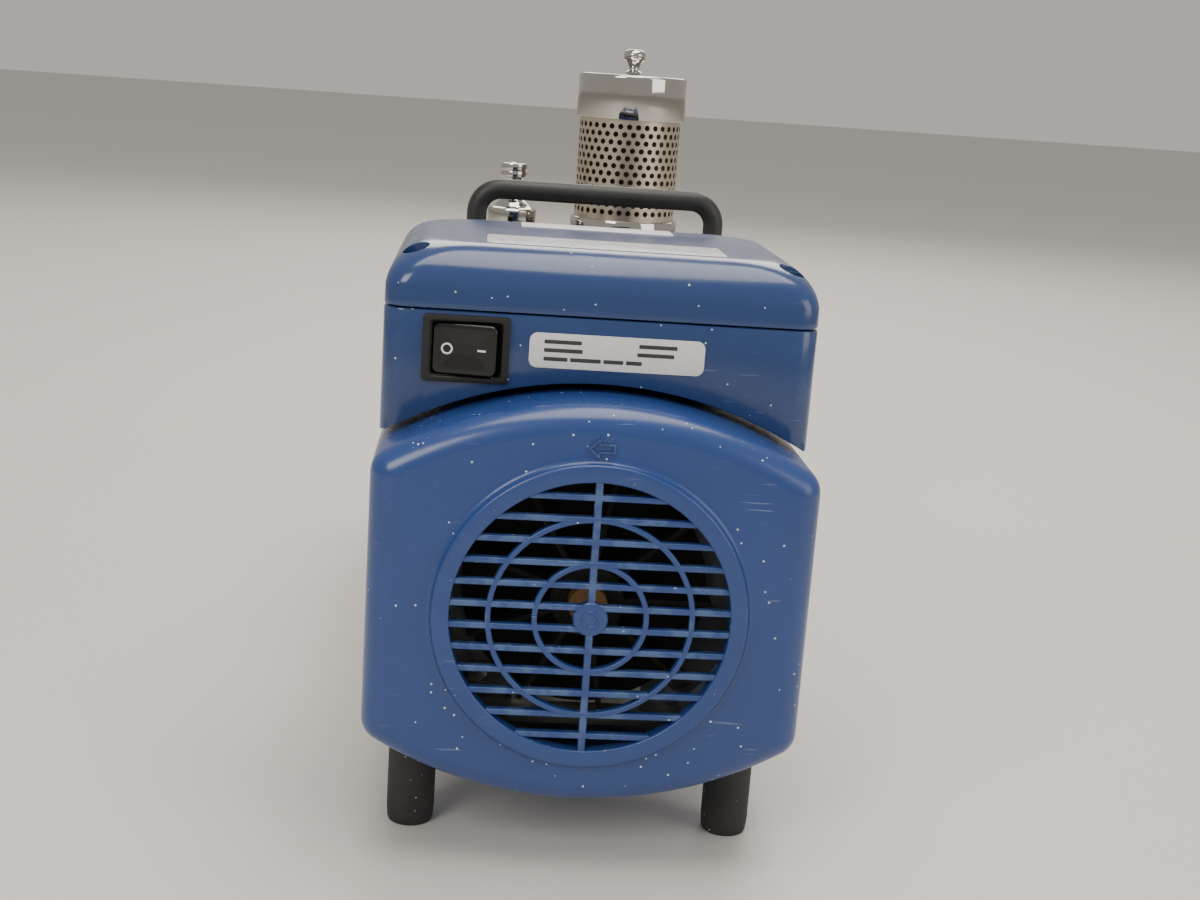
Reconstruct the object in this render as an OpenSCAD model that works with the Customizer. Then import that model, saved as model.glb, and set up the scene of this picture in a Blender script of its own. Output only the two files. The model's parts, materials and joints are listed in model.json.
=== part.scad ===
// Two-stage rotary vane vacuum pump, direct drive.
// X runs across the pump, Y from the fan end to the pump end, Z up. Z = 0 is the surface it stands on,
// and the origin is below the middle of its box. All sizes are in millimetres.

/* [Overall] */
// Length from the fan grille to the bolt heads on the oil case
total_l = 460; // [450:1:470]
// Height of the shaft above the surface
axis_z = 102; // [101:0.5:103]

/* [Fan cowl] */
// Width of the cowl
cowl_w = 166.4; // [164:0.2:168]
// Height of the cowl's top above the shaft
cowl_top = 78.7; // [78:0.1:80]
// Depth of the cowl's underside below the shaft
cowl_bottom = 76; // [75.5:0.1:77]
// Length of the cowl
cowl_l = 107; // [104:1:108]
// Radius of the rounding round its front
cowl_round = 10; // [8:0.5:12]
// Radius of the air opening in the grille
grille_r = 52; // [50:0.5:53]
// Distance between two bars of the grille
bar_pitch = 8.4; // [8:0.1:8.8]
// Thickness of a bar
bar_t = 2.3; // [2:0.1:2.8]

/* [Electrical box] */
// Width of the box
box_w = 164.4; // [162:0.2:166]
// Length of the box
box_l = 126; // [124:1:127]
// Height of the seam between box and cover above the shaft
seam_h = 106.4; // [106:0.1:107]
// Height of the cover's top above the shaft
cover_h = 130.3; // [128:0.1:132]
// Radius of the rounding round the cover's top
cover_round = 18; // [15:0.5:19]

/* [Handle] */
// Width of the handle over its legs
handle_w = 122; // [118:1:126]
// Diameter of the handle's bar
handle_d = 9.4; // [9:0.1:10]
// Height of the handle's top above the shaft
handle_h = 143.8; // [141:0.1:146]
// Distance of the handle's middle from the shaft
handle_x = 6; // [4:0.5:8]

/* [Pump module] */
// Radius of the two rotors
rotor_r = 31.4; // [31.2:0.1:31.4]
// Radius of the bores that the rotors run in
bore_r = 36; // [36:0.1:36.4]
// Distance between the rotor's axis and the bore's axis
offset_z = 4.5; // [4.4:0.1:4.5]
// Thickness of a vane
vane_t = 4; // [3.8:0.1:4]
// Length of the high-vacuum stage
hv_l = 60; // [58:1:60]
// Length of the low-vacuum stage
lv_l = 28; // [26:1:28]

/* [Exhaust filter] */
// Diameter of the filter's cap and base
filter_d = 61.5; // [60:0.5:63]
// Diameter of the perforated sleeve
sleeve_d = 57.5; // [56:0.5:58]
// Height of the filter cap's top above the shaft
filter_h = 195.3; // [193:0.1:197]

/* [Feet] */
// Diameter of a rubber foot
foot_d = 19; // [18:0.5:21]
// Height of a rubber foot
foot_h = 36; // [35:0.5:36.5]

/* [Hidden] */
$fn = 96;
soft_fn = 32;               // facets of a rounding that a hull blends
eps = 0.5;                  // how far a cut runs past a face
gap = 0.3;                  // play between two pieces that don't touch

front_y = -total_l / 2;     // face of the raised ring round the grille
ring_t = 3;                 // how far that ring stands proud of the cowl
cowl_y = front_y + ring_t;
cowl_end = cowl_y + cowl_l;
wall = 3;                   // wall of every moulded cover
top_arc = 157;              // radius of the cowl's curved top
bottom_arc = 152;           // radius of its curved underside
ring_r = 59;                // radius of the raised ring
bars = 12;
arrow_z = axis_z + 64.4;

box_y = front_y + 33.2;
box_end = box_y + box_l;
box_mid = (box_y + box_end) / 2;
box_corner = 9;
box_arc = 156;              // radius of the box's curved underside
box_low = axis_z + 81.8;    // crown of that underside
arc_z = box_low - box_arc;  // height of its centre
seam_z = axis_z + seam_h;
seam_gap = 0.6;
cover_z = axis_z + cover_h;
cover_steps = 5;            // slices that round the cover's edge
cover_screw_x = 71.5;
cover_screw_in = 15.5;      // distance of a cover screw from the box's end
pocket_z = axis_z + 112;    // floor of the pocket that a cover screw sits in
screw_r = 2;
screw_head_r = 3.8;
low_head = 1.3;             // height of the flush heads in the cowl's sides
cowl_screw_y = -131;
cowl_screw_z = 30;          // distance of those screws above and below the shaft
box_screw_x = 22;
box_screw_ys = [-109, -92];

switch_x = -50.9;
switch_z = axis_z + 92.55;
bezel_w = 32.2;
bezel_h = 25.1;
bezel_t = 2;
rocker_w = 24;
rocker_h = 19.2;
rocker_tilt = 9;
rocker_y = box_y + 0.4;     // hinge line of the rocker
label_x = 5.6;
label_z = axis_z + 93.7;
label_w = 66;
label_h = 13.2;
label_t = 0.3;

cap_y = -134;               // run capacitor, lying across the box
cap_axis_z = axis_z + 107;
cap_r = 17.5;
inlet_y = -112;             // middle of the mains inlet on the box's right side
inlet_z = 188;

frame_r = 66;               // motor frame under its fins
frame_in = 60;
fin_r = 70;
fins = 40;
frame_y = -168;
frame_end = -46;
pad_y = -116;               // cast pad that carries the box
pad_end = -84;
pad_x = 50;
shield_t = 12;
core_y = -150;
core_end = -70;
core_in = 34;
slots = 24;
shaft_r = 7.5;
shaft_front = -214;
bearing_r = 17.5;
bearing_w = 11;
fan_r = 48;
fan_y = -208;
fan_end = -187;
fan_blades = 9;
tie_r = 2.5;
tie_ring = 57;              // radius of the circle of tie bolts
tie_grip = 5;               // depth of the tie bolts' holes in the pump's flange
module_grip = 8;            // and of the module bolts' holes, from its other side

lantern_y = -36;
lantern_end = 40;
lantern_wall = 8;
lantern_h = 132;
hub_r = 20;
jaw_r = 19.5;               // outside of the coupling's jaws
handle_y = -22;
handle_bend = 11.3;
handle_foot_z = axis_z + 76;

flange_end = 55;
gasket_t = 1;
case_y = flange_end + gasket_t;
case_end = total_l / 2 - 6;
case_w = 148;
case_low = 40;
case_top = 198;
case_round = 14;
case_wall = 5;
case_mid = (case_low + case_top) / 2;
block_w = 100;              // width and height of the pump module
block_h = 96;
block_r = 12;
mid_t = 14;                 // plates beside the high-vacuum stage
lv_y = flange_end;
mid_y = lv_y + lv_l;
hv_y = mid_y + mid_t;
end_y = hv_y + hv_l;
module_end = end_y + mid_t;
bore_z = axis_z - offset_z;
block_top = axis_z + block_h / 2;
pump_shaft_r = 9;
run_gap = 0.05;             // radial play of a shaft in its plain bearing
slot_t = vane_t + 0.2;
vane_tip = rotor_r - 0.15;
vane_h = 14.5;
slot_floor = 13;
end_play = 0.15;            // play of the rotors between their plates

port_y = front_y + 375;     // both ports stand on this line
filter_x = 33.5;
inlet_x = -31;
filter_r = filter_d / 2;
sleeve_r = sleeve_d / 2;
sleeve_t = 0.8;
base_z = case_top + 7;
base_top = axis_z + 115;
cap_z = axis_z + 171;
cap_top = axis_z + filter_h;
sleeve_low = axis_z + 113;
sleeve_rows = 12;
sleeve_cols = 36;
hole_r = 1.5;
row_pitch = 4.33;
rod_r = 2.5;
knob_low = cap_top + 0.4;
knob_top = axis_z + 209.6;
ballast_x = -38;
ballast_y = 84;
plug_x = 38;
plug_y = 203;
drain_z = 56;
sight_x = 42;
sight_z = 84;
sight_r = 15;

foot_x = 64;
foot_y = front_y + 43;
rear_foot_x = 58;
rear_foot_y = 178;
bracket_z = 47;
bracket_t = 4;
foot_screw_r = 3;

// ---- helpers ----

// A flat outline in X and Z, made solid from y0 to y1
module along_y(y0, y1) {
    translate([0, y1, 0]) rotate([90, 0, 0]) linear_extrude(y1 - y0) children();
}

// A flat outline in Y and Z, made solid from x0 to x1
module along_x(x0, x1) {
    translate([x0, 0, 0]) rotate([90, 0, 90]) linear_extrude(x1 - x0) children();
}

module rod_y(r, y0, y1, x = 0, z = axis_z) {
    translate([x, y0, z]) rotate([-90, 0, 0]) cylinder(h = y1 - y0, r = r);
}

module rod_z(r, z0, z1, x = 0, y = 0) {
    translate([x, y, z0]) cylinder(h = z1 - z0, r = r);
}

module block(x0, x1, y0, y1, z0, z1) {
    translate([x0, y0, z0]) cube([x1 - x0, y1 - y0, z1 - z0]);
}

module rounded(w, h, r) {
    square([w - 2 * r, h], center = true);
    square([w, h - 2 * r], center = true);
    for (x = [-1, 1], y = [-1, 1])
        translate([x * (w / 2 - r), y * (h / 2 - r)]) circle(r = r);
}

module both_sides() {
    children();
    mirror([1, 0, 0]) children();
}

// A cross-head screw with its shank below z = 0
module cross_screw(shank, head_h = 2.6) {
    difference() {
        union() {
            cylinder(h = head_h, r = screw_head_r);
            translate([0, 0, -shank]) cylinder(h = shank, r = screw_r);
        }
        for (a = [0, 90]) rotate([0, 0, a])
            translate([-2.1, -0.5, head_h / 2]) cube([4.2, 1, head_h]);
    }
}

// A socket-head bolt with its shank along -Y and its head's face at y = 0
module socket_bolt(shank, r) {
    rotate([90, 0, 0]) difference() {
        union() {
            cylinder(h = 1.8 * r, r = 1.6 * r);
            cylinder(h = shank + 1.8 * r, r = r);
        }
        translate([0, 0, -eps]) cylinder(h = r + eps, r = 0.9 * r, $fn = 6);
    }
}

// Each place on the cowl's sides where a screw goes in, with +Z out of the side
module cowl_screw_places() {
    for (z = [-cowl_screw_z, cowl_screw_z]) both_sides()
        translate([cowl_w / 2, cowl_screw_y, axis_z + z]) rotate([0, 90, 0]) children();
}

module box_screw_places(z) {
    for (x = [-box_screw_x, box_screw_x], y = box_screw_ys) translate([x, y, z]) children();
}

// ---- fan cowl ----

module cowl_outline(inset) {
    offset(r = cowl_round, $fn = soft_fn) offset(delta = -cowl_round) intersection() {
        translate([0, axis_z]) square([cowl_w - 2 * inset, 2 * cowl_top], center = true);
        translate([0, axis_z + cowl_top - top_arc]) circle(r = top_arc - inset, $fn = 180);
        translate([0, axis_z - cowl_bottom + bottom_arc]) circle(r = bottom_arc - inset, $fn = 180);
    }
}

// The outside of the cowl, rounded at its front, or the room inside it
module cowl_body(inset, y0, y1) {
    hull() {
        for (a = [0 : 22.5 : 90])
            along_y(y0 + cowl_round * (1 - sin(a)), y1) cowl_outline(inset + cowl_round * (1 - cos(a)));
    }
}

module grille() {
    intersection() {
        circle(r = grille_r + 1);
        union() {
            for (k = [0 : bars - 1])
                translate([-grille_r - 2, ((bars - 1) / 2 - k) * bar_pitch - bar_t / 2])
                    square([2 * grille_r + 4, bar_t]);
            square([2.8, 2 * grille_r + 4], center = true);
            for (r = [20.7, 37.8]) difference() {
                circle(r = r + 1.05);
                circle(r = r - 1.05);
            }
            circle(r = 6.5);
        }
    }
}

module fan_cowl() color("#2f5c9c") {
    difference() {
        cowl_body(0, cowl_y, cowl_end);
        cowl_body(wall, cowl_y + wall, cowl_end + eps);
        rod_y(ring_r - 2, cowl_y - eps, cowl_y + wall + eps);
        cowl_screw_places() {
            translate([0, 0, -wall - eps]) cylinder(h = wall + 1, r = screw_r + 0.2);
            translate([0, 0, -low_head]) cylinder(h = wall, r = screw_head_r + 0.2);
        }
        for (x = [-foot_x, foot_x]) rod_z(foot_screw_r, foot_h - 1, bracket_z + 5, x, foot_y);
    }
    difference() {
        rod_y(ring_r, front_y, cowl_y + wall);
        rod_y(grille_r, front_y - eps, cowl_y + wall + eps);
    }
    translate([0, 0, axis_z]) along_y(front_y + 0.8, front_y + 4.4) grille();
    rod_y(3.3, front_y, front_y + 1);
    along_y(cowl_y - 0.6, cowl_y + 1) translate([0, arrow_z]) polygon([
        [-4.7, 0], [-0.6, 3.8], [-0.6, 1.6], [4.8, 1.6], [4.8, -1.6], [-0.6, -1.6], [-0.6, -3.8]
    ]);
    for (x = [-foot_x, foot_x]) difference() {
        rod_z(12, foot_h, bracket_z, x, foot_y);
        rod_z(foot_screw_r, foot_h - 1, bracket_z + 5, x, foot_y);
    }
}

// ---- electrical box ----

module box_plan(inset) {
    translate([0, box_mid]) rounded(box_w - 2 * inset, box_l - 2 * inset, box_corner - inset);
}

module box_posts(r, z0, z1) {
    translate([0, box_mid, 0]) for (x = [-1, 1], y = [-1, 1])
        rod_z(r, z0, z1, x * cover_screw_x, y * (box_l / 2 - cover_screw_in));
}

module terminal_box() color("#27508c") difference() {
    union() {
        difference() {
            translate([0, 0, axis_z]) linear_extrude(seam_z - axis_z) box_plan(0);
            translate([0, 0, axis_z - eps]) linear_extrude(seam_z) box_plan(wall);
        }
        intersection() {
            translate([0, 0, axis_z]) linear_extrude(seam_z - axis_z) box_plan(1);
            rod_y(box_arc + wall, box_y, box_end, 0, arc_z);
        }
        box_posts(5.5, axis_z + 60, seam_z);
        block(-70, -10, -160, -136, axis_z + 60, axis_z + 87.5);
        block(6, 50, -146, -122, axis_z + 80, axis_z + 94);
        box_screw_places(box_low) cylinder(h = 5, r = 5);
    }
    rod_y(box_arc, box_y - eps, box_end + eps, 0, arc_z);
    translate([0, cap_y, cap_axis_z]) rotate([0, 90, 0]) cylinder(h = 60, r = cap_r);
    box_posts(screw_r, seam_z - 12, seam_z + eps);
    translate([switch_x, box_y, switch_z]) cube([28, 4 * wall, 21.6], center = true);
    translate([box_w / 2, inlet_y, inlet_z]) cube([4 * wall, 27.4, 20.4], center = true);
    box_screw_places(box_low - 10) cylinder(h = 20, r = screw_r + 0.2);
}

module cover_body(inset, low, high) {
    hull() for (i = [0 : cover_steps]) {
        a = 90 * i / cover_steps;
        d = cover_round * (1 - cos(a)) + inset;
        h = (cover_z - seam_z - seam_gap) - cover_round * (1 - sin(a));
        translate([0, box_mid, low])
            linear_extrude(max(h + high, 0.1))
                rounded(box_w - 2 * d, box_l - 2 * d, box_corner + 0.7 * d, $fn = soft_fn);
    }
}

module box_cover() color("#27508c") difference() {
    cover_body(0, seam_z + seam_gap, 0);
    difference() {
        cover_body(wall, seam_z + seam_gap - eps, eps - wall);
        box_posts(7.5, seam_z, cover_z);
    }
    box_posts(screw_head_r + 0.7, pocket_z, cover_z + 1);
    box_posts(screw_r + 0.2, seam_z, cover_z);
}

// Cover, box and cowl are held by the same size of screw
module housing_screws() color("#5c5f63") {
    translate([0, box_mid, pocket_z]) for (x = [-1, 1], y = [-1, 1])
        translate([x * cover_screw_x, y * (box_l / 2 - cover_screw_in), 0]) cross_screw(14);
    box_screw_places(box_low + 5) cross_screw(20);
    cowl_screw_places() translate([0, 0, -low_head]) cross_screw(9, low_head);
}

module switch_housing() color("#141414") translate([switch_x, 0, switch_z]) difference() {
    union() {
        along_y(box_y - bezel_t, box_y) rounded(bezel_w, bezel_h, 1.5);
        along_y(box_y - 0.1, box_y + 24) square([27.6, 21.2], center = true);
        for (x = [-8, 0, 8]) block(x - 0.4, x + 0.4, box_y + 24, box_y + 33, -3, 3);
    }
    along_y(box_y - bezel_t - eps, box_y + 11) rounded(25.6, 19.8, 0.8);
    translate([0, rocker_y, -10.2]) cylinder(h = 20.4, r = 1.5 + run_gap);
}

module switch_rocker() color("#0b0b0b") translate([switch_x, rocker_y, switch_z])
    rotate([0, 0, -rocker_tilt]) {
        translate([0, 0, -rocker_h / 2]) linear_extrude(rocker_h) polygon([
            [-rocker_w / 2, -3.6], [-6, -2.7], [0, -2.4], [6, -2.7], [rocker_w / 2, -3.6],
            [rocker_w / 2 - 1, 2.4], [3, 6], [-3, 6], [1 - rocker_w / 2, 2.4]
        ]);
        translate([0, 0, -10.1]) cylinder(h = 20.2, r = 1.5);
    }

module rating_label() color("#d9dcdc")
    translate([label_x, 0, label_z]) along_y(box_y - label_t, box_y) rounded(label_w, label_h, 3);

module cover_labels() color("#cfd6dc") {
    translate([1, front_y + 66.5, cover_z]) linear_extrude(label_t) rounded(92, 30, 2);
    translate([1.6, front_y + 131, cover_z]) linear_extrude(label_t) rounded(64.7, 18, 1);
}

module mains_inlet() color("#161616") translate([0, inlet_y, inlet_z]) {
    difference() {
        union() {
            along_x(box_w / 2, box_w / 2 + 0.9) rounded(31, 24.4, 3);
            along_x(box_w / 2 - 21, box_w / 2 + 0.1) rounded(27, 20, 2);
        }
        along_x(box_w / 2 - 17, box_w / 2 + 2) rounded(24, 16.4, 3);
    }
    for (p = [[-7, -2], [0, 2], [7, -2]])
        translate([box_w / 2 - 28, p[0] - 1, p[1] - 2]) cube([22, 2, 4]);
}

module run_capacitor() color("#c8cbcd")
    translate([-2, cap_y, cap_axis_z]) rotate([0, 90, 0]) {
        cylinder(h = 60, r = cap_r);
        translate([0, 0, -4]) cylinder(h = 4, r = 12);
        for (y = [-5, 5]) translate([-0.4, y - 3, -11]) cube([0.8, 6, 8]);
    }

module terminal_block() color("#e6e2d6") difference() {
    block(-66, -14, -159, -137, axis_z + 87.5, axis_z + 101);
    for (i = [0 : 4]) {
        rod_z(2.4, axis_z + 93, axis_z + 102, -58 + 9 * i, -152);
        rod_z(2.4, axis_z + 93, axis_z + 102, -58 + 9 * i, -144);
    }
}

// ---- motor ----

module tie_holes(r, y0, y1) {
    for (a = [45 : 90 : 315]) rotate_about_axis(a) rod_y(r, y0, y1, tie_ring);
}

module rotate_about_axis(a) {
    translate([0, 0, axis_z]) rotate([0, a, 0]) translate([0, 0, -axis_z]) children();
}

module motor_frame() color("#9fa3a6") difference() {
    union() {
        rod_y(frame_r, frame_y, frame_end);
        for (i = [0 : fins - 1]) rotate_about_axis(i * 360 / fins)
            block(frame_r - 2, fin_r, frame_y + 4, frame_end - 4, axis_z - 1, axis_z + 1);
        block(-pad_x, pad_x, pad_y, pad_end, axis_z + 40, axis_z + 76);
        block(-30, 30, pad_y, pad_end, axis_z + 60, box_low + 2);
        for (x = [-1, 1], z = [-cowl_screw_z, cowl_screw_z])
            translate([x * 68, cowl_screw_y, axis_z + z]) cube([23.6, 14, 12], center = true);
    }
    rod_y(frame_in, frame_y - eps, frame_end + eps);
    difference() {
        block(-200, 200, pad_y - 1, pad_end + 1, axis_z + 30, axis_z + 100);
        rod_y(box_arc - gap, pad_y - 2, pad_end + 2, 0, arc_z);
    }
    box_screw_places(box_low - 16) cylinder(h = 20, r = screw_r);
    cowl_screw_places() translate([0, 0, -12]) cylinder(h = 12, r = screw_r);
}

// Both shields close the motor frame and hold a bearing
module rear_shield() color("#9fa3a6") difference() {
    union() {
        rod_y(frame_r, frame_y - shield_t, frame_y);
        rod_y(frame_in - gap, frame_y, frame_y + 3);
    }
    rod_y(shaft_r + 2, frame_y - shield_t - eps, frame_y + 5);
    rod_y(bearing_r, frame_y - bearing_w, frame_y + 5);
    difference() {
        rod_y(50, frame_y - 5, frame_y + 4);
        rod_y(bearing_r + 4, frame_y - 6, frame_y);
    }
    tie_holes(tie_r, frame_y - shield_t - eps, frame_y + 5);
}

module front_shield() color("#9fa3a6") difference() {
    union() {
        rod_y(frame_r, frame_end, lantern_y);
        rod_y(frame_in - gap, frame_end - 3, frame_end);
    }
    rod_y(shaft_r + 2, frame_end - 5, lantern_y + 5);
    rod_y(bearing_r, frame_end - 5, frame_end + bearing_w - 3);
    difference() {
        rod_y(50, frame_end - 4, frame_end + 3);
        rod_y(bearing_r + 4, frame_end - 3, frame_end + 4);
    }
    tie_holes(tie_r, frame_end - 4, lantern_y + eps);
}

module tie_bolts() color("#6e7276") {
    tie_holes(tie_r, frame_y - shield_t, lantern_end + tie_grip - run_gap);
    for (a = [45 : 90 : 315]) rotate_about_axis(a)
        translate([tie_ring, frame_y - shield_t, axis_z]) rotate([90, 0, 0])
            cylinder(h = 3, r = 4.6, $fn = 6);
}

module stator_core() color("#55585c") difference() {
    rod_y(frame_in, core_y, core_end);
    rod_y(core_in, core_y - eps, core_end + eps);
    for (i = [0 : slots - 1]) rotate_about_axis((i + 0.5) * 360 / slots)
        block(core_in - 2, 52, core_y - eps, core_end + eps, axis_z - 2.2, axis_z + 2.2);
    tie_holes(3.4, core_y - eps, core_end + eps);
}

module stator_windings() color("#a8562a") {
    for (i = [0 : slots - 1]) rotate_about_axis((i + 0.5) * 360 / slots)
        block(core_in + 3, 51, core_y - 2, core_end + 2, axis_z - 2, axis_z + 2);
    for (y = [core_y - 14, core_end]) translate([0, y, axis_z]) rotate([-90, 0, 0])
        rotate_extrude() translate([45, 7]) rounded(18, 14, 5);
}

module rotor_core() color("#63666a") difference() {
    union() {
        rod_y(core_in - 0.5, core_y, core_end);
        rod_y(30, core_y - 7, core_end + 7);
    }
    rod_y(shaft_r, core_y - 10, core_end + 10);
    for (y = [core_y - 7 - eps, core_end]) difference() {
        rod_y(20, y, y + 7 + eps);
        rod_y(shaft_r - 1, y - 1, y + 9);
    }
}

module motor_shaft() color("#8a8d90") rod_y(shaft_r, shaft_front, -8);

module motor_bearings() color("#a5a8ab") for (y = [frame_y - bearing_w, frame_end - 3])
    difference() {
        rod_y(bearing_r, y, y + bearing_w);
        rod_y(shaft_r + run_gap, y - eps, y + bearing_w + eps);
    }

module cooling_fan() color("#1d1e20") {
    difference() {
        union() {
            rod_y(14, fan_y, fan_end);
            rod_y(fan_r, fan_end - 2.5, fan_end);
            for (i = [0 : fan_blades - 1]) rotate_about_axis(i * 360 / fan_blades)
                block(12, fan_r, fan_y + 2, fan_end - 1, axis_z - 1, axis_z + 1);
        }
        rod_y(shaft_r, fan_y - eps, fan_end + eps);
    }
}

// ---- coupling and lantern ----

// Three sectors of a ring about the shaft, the first one from angle a to a + width
module jaws(y0, y1, a, width, inner = 9) {
    far = 2 * hub_r;
    for (i = [0 : 2]) intersection() {
        difference() {
            rod_y(jaw_r, y0, y1);
            rod_y(inner, y0 - eps, y1 + eps);
        }
        along_y(y0 - eps, y1 + eps) translate([0, axis_z]) rotate(a + 120 * i)
            polygon([[0, 0], [far, 0], [far * cos(width / 2), far * sin(width / 2)],
                     [far * cos(width), far * sin(width)]]);
    }
}

module motor_hub() color("#8e9194") {
    difference() {
        rod_y(hub_r, -26, -7);
        rod_y(shaft_r, -27, -8);
    }
    jaws(-8, 5, 0, 38);
}

module pump_hub() color("#8e9194") {
    difference() {
        rod_y(hub_r, 7, 26);
        rod_y(pump_shaft_r, 8, 27);
    }
    jaws(-5, 8, 60, 38);
}

module coupling_spider() color("#b3302a") {
    rod_y(8.6, -5, 5);
    for (a = [38.5, 98.5]) jaws(-4.8, 4.8, a, 21, 6);
}

module case_outline(inset) {
    translate([0, case_mid])
        rounded(case_w - 2 * inset, case_top - case_low - 2 * inset, case_round - inset);
}

module lantern_outline(inset) {
    translate([0, case_low + lantern_h / 2])
        rounded(case_w - 2 * inset, lantern_h - 2 * inset, 18 - inset);
}

module lantern() color("#3b3f44") difference() {
    union() {
        along_y(lantern_y, lantern_end) lantern_outline(0);
        for (x = [-1, 1])
            rod_z(9, axis_z + 50, handle_foot_z, handle_x + x * (handle_w - handle_d) / 2, handle_y);
    }
    along_y(lantern_y + lantern_wall, lantern_end - lantern_wall) lantern_outline(lantern_wall);
    rod_y(48, lantern_y - eps, lantern_end + eps);
    along_x(-90, 90) translate([2, axis_z]) rounded(40, 44, 8);
    tie_holes(tie_r, lantern_y - eps, lantern_end + eps);
}

module carry_handle() color("#1a1b1d") {
    leg = (handle_w - handle_d) / 2;
    bar_z = axis_z + handle_h - handle_d / 2;
    for (x = [-1, 1]) {
        rod_z(handle_d / 2, handle_foot_z, bar_z - handle_bend, handle_x + x * leg, handle_y);
        translate([handle_x + x * (leg - handle_bend), handle_y, bar_z - handle_bend])
            rotate([90, x > 0 ? 0 : -90, 0]) rotate_extrude(angle = 90)
                translate([handle_bend, 0]) circle(d = handle_d);
    }
    translate([handle_x - leg + handle_bend, handle_y, bar_z]) rotate([0, 90, 0])
        cylinder(h = 2 * (leg - handle_bend), d = handle_d);
}

// ---- pump module ----

module block_outline() {
    translate([0, axis_z]) rounded(block_w, block_h, block_r);
}

module module_holes(r, y0, y1) {
    for (x = [-42, 42], z = [-40, 40]) rod_y(r, y0, y1, x, axis_z + z);
}

module pump_flange() color("#3b3f44") difference() {
    along_y(lantern_end, flange_end) case_outline(0);
    rod_y(17, lantern_end - eps, lantern_end + 8);
    rod_y(pump_shaft_r + run_gap, lantern_end, flange_end + eps);
    tie_holes(tie_r, lantern_end - eps, lantern_end + tie_grip);
    module_holes(3, flange_end - module_grip, flange_end + eps);
    case_bolt_holes(2.5, flange_end - 10, flange_end + eps);
}

module shaft_seal() color("#3a2018") difference() {
    rod_y(17, lantern_end, lantern_end + 8);
    rod_y(pump_shaft_r + run_gap, lantern_end - eps, lantern_end + 9);
    rod_y(13, lantern_end + 3, lantern_end + 9);
}

module rotor_slots(y0, y1) {
    for (x = [-1, 1]) translate([x * (slot_floor + 12), (y0 + y1) / 2, axis_z])
        cube([24, y1 - y0 + 1, slot_t], center = true);
}

module pump_rotor() color("#7b7f83") {
    rod_y(pump_shaft_r, 8, module_end - 2);
    for (s = [[lv_y, lv_l], [hv_y, hv_l]]) difference() {
        rod_y(rotor_r, s[0] + end_play, s[0] + s[1] - end_play);
        rotor_slots(s[0], s[0] + s[1]);
    }
}

module stage(y0, y1) {
    difference() {
        along_y(y0, y1) block_outline();
        rod_y(bore_r, y0 - eps, y1 + eps, 0, bore_z);
        module_holes(3, y0 - eps, y1 + eps);
    }
}

module lv_stator() color("#6c7075") difference() {
    stage(lv_y, mid_y);
    rod_z(3, axis_z + 20, block_top + eps, 22, lv_y + lv_l / 2);
    for (y = [-9, 9]) rod_z(1.5, block_top - 8, block_top + eps, 38, lv_y + lv_l / 2 + y);
}

module hv_stator() color("#6c7075") difference() {
    stage(hv_y, end_y);
    rod_z(7, axis_z + 10, block_top + eps, inlet_x, port_y);
}

module middle_plate() color("#63676c") difference() {
    along_y(mid_y, hv_y) block_outline();
    rod_y(pump_shaft_r + run_gap, mid_y - eps, hv_y + eps);
    module_holes(3, mid_y - eps, hv_y + eps);
}

module end_plate() color("#63676c") difference() {
    along_y(end_y, module_end) block_outline();
    rod_y(pump_shaft_r + run_gap, end_y - eps, module_end + eps);
    module_holes(3, end_y - eps, module_end + eps);
}

module module_bolts() color("#505458") for (x = [-42, 42], z = [-40, 40])
    translate([x, module_end + 5.4, axis_z + z])
        socket_bolt(module_end - flange_end + module_grip - run_gap, 3);

module vane(y0, len, side) {
    translate([side * (vane_tip - vane_h / 2), y0 + len / 2, axis_z])
        cube([vane_h, len - 2 * end_play, vane_t], center = true);
}

module hv_vane_a() color("#2a2623") vane(hv_y, hv_l, 1);
module hv_vane_b() color("#2a2623") vane(hv_y, hv_l, -1);
module lv_vane_a() color("#2a2623") vane(lv_y, lv_l, 1);
module lv_vane_b() color("#2a2623") vane(lv_y, lv_l, -1);

module vane_springs() color("#b9bcbf")
    for (side = [-1, 1], y = [lv_y + 8, lv_y + 20, hv_y + 12, hv_y + 30, hv_y + 48], i = [0 : 2])
        translate([side * (slot_floor + 0.6 + 1.25 * i), y, axis_z]) rotate([0, 90, 0])
            rotate_extrude() translate([1.3, 0]) circle(r = 0.4, $fn = 16);

module valve_leaf() color("#a9adb0")
    translate([25, lv_y + lv_l / 2, block_top + 0.2]) linear_extrude(0.6) rounded(34, 12, 3);

module valve_stop() color("#8d9194") {
    difference() {
        translate([25, lv_y + lv_l / 2, block_top]) linear_extrude(5) rounded(36, 24, 3);
        block(0, 34, lv_y + 1, lv_y + lv_l - 1, block_top - 1, block_top + 2.6);
        block(0, 50, lv_y + 7, lv_y + lv_l - 7, block_top - 1, block_top + 2.6);
        rod_z(5, block_top, block_top + 8, 22, lv_y + lv_l / 2);
    }
    for (y = [-9, 9]) rod_z(1.5, block_top - 7, block_top + 6.5, 38, lv_y + lv_l / 2 + y);
}

module inlet_duct() color("#74787c") difference() {
    rod_z(15, block_top, case_top - case_wall, inlet_x, port_y);
    rod_z(5, block_top - 1, block_top + 6, inlet_x, port_y);
    rod_z(11, block_top + 5, case_top - 12, inlet_x, port_y);
    rod_z(6, case_top - 14, case_top, inlet_x, port_y);
}

module inlet_valve() color("#c9a24a") {
    rod_z(10.5, block_top + 27, block_top + 30, inlet_x, port_y);
    rod_z(4, block_top + 14, block_top + 27, inlet_x, port_y);
}

module inlet_valve_spring() color("#b9bcbf") for (i = [0 : 6])
    translate([inlet_x, port_y, block_top + 6.2 + 3.3 * i])
        rotate_extrude() translate([6, 0]) circle(r = 0.6, $fn = 16);

// ---- oil case ----

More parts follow.
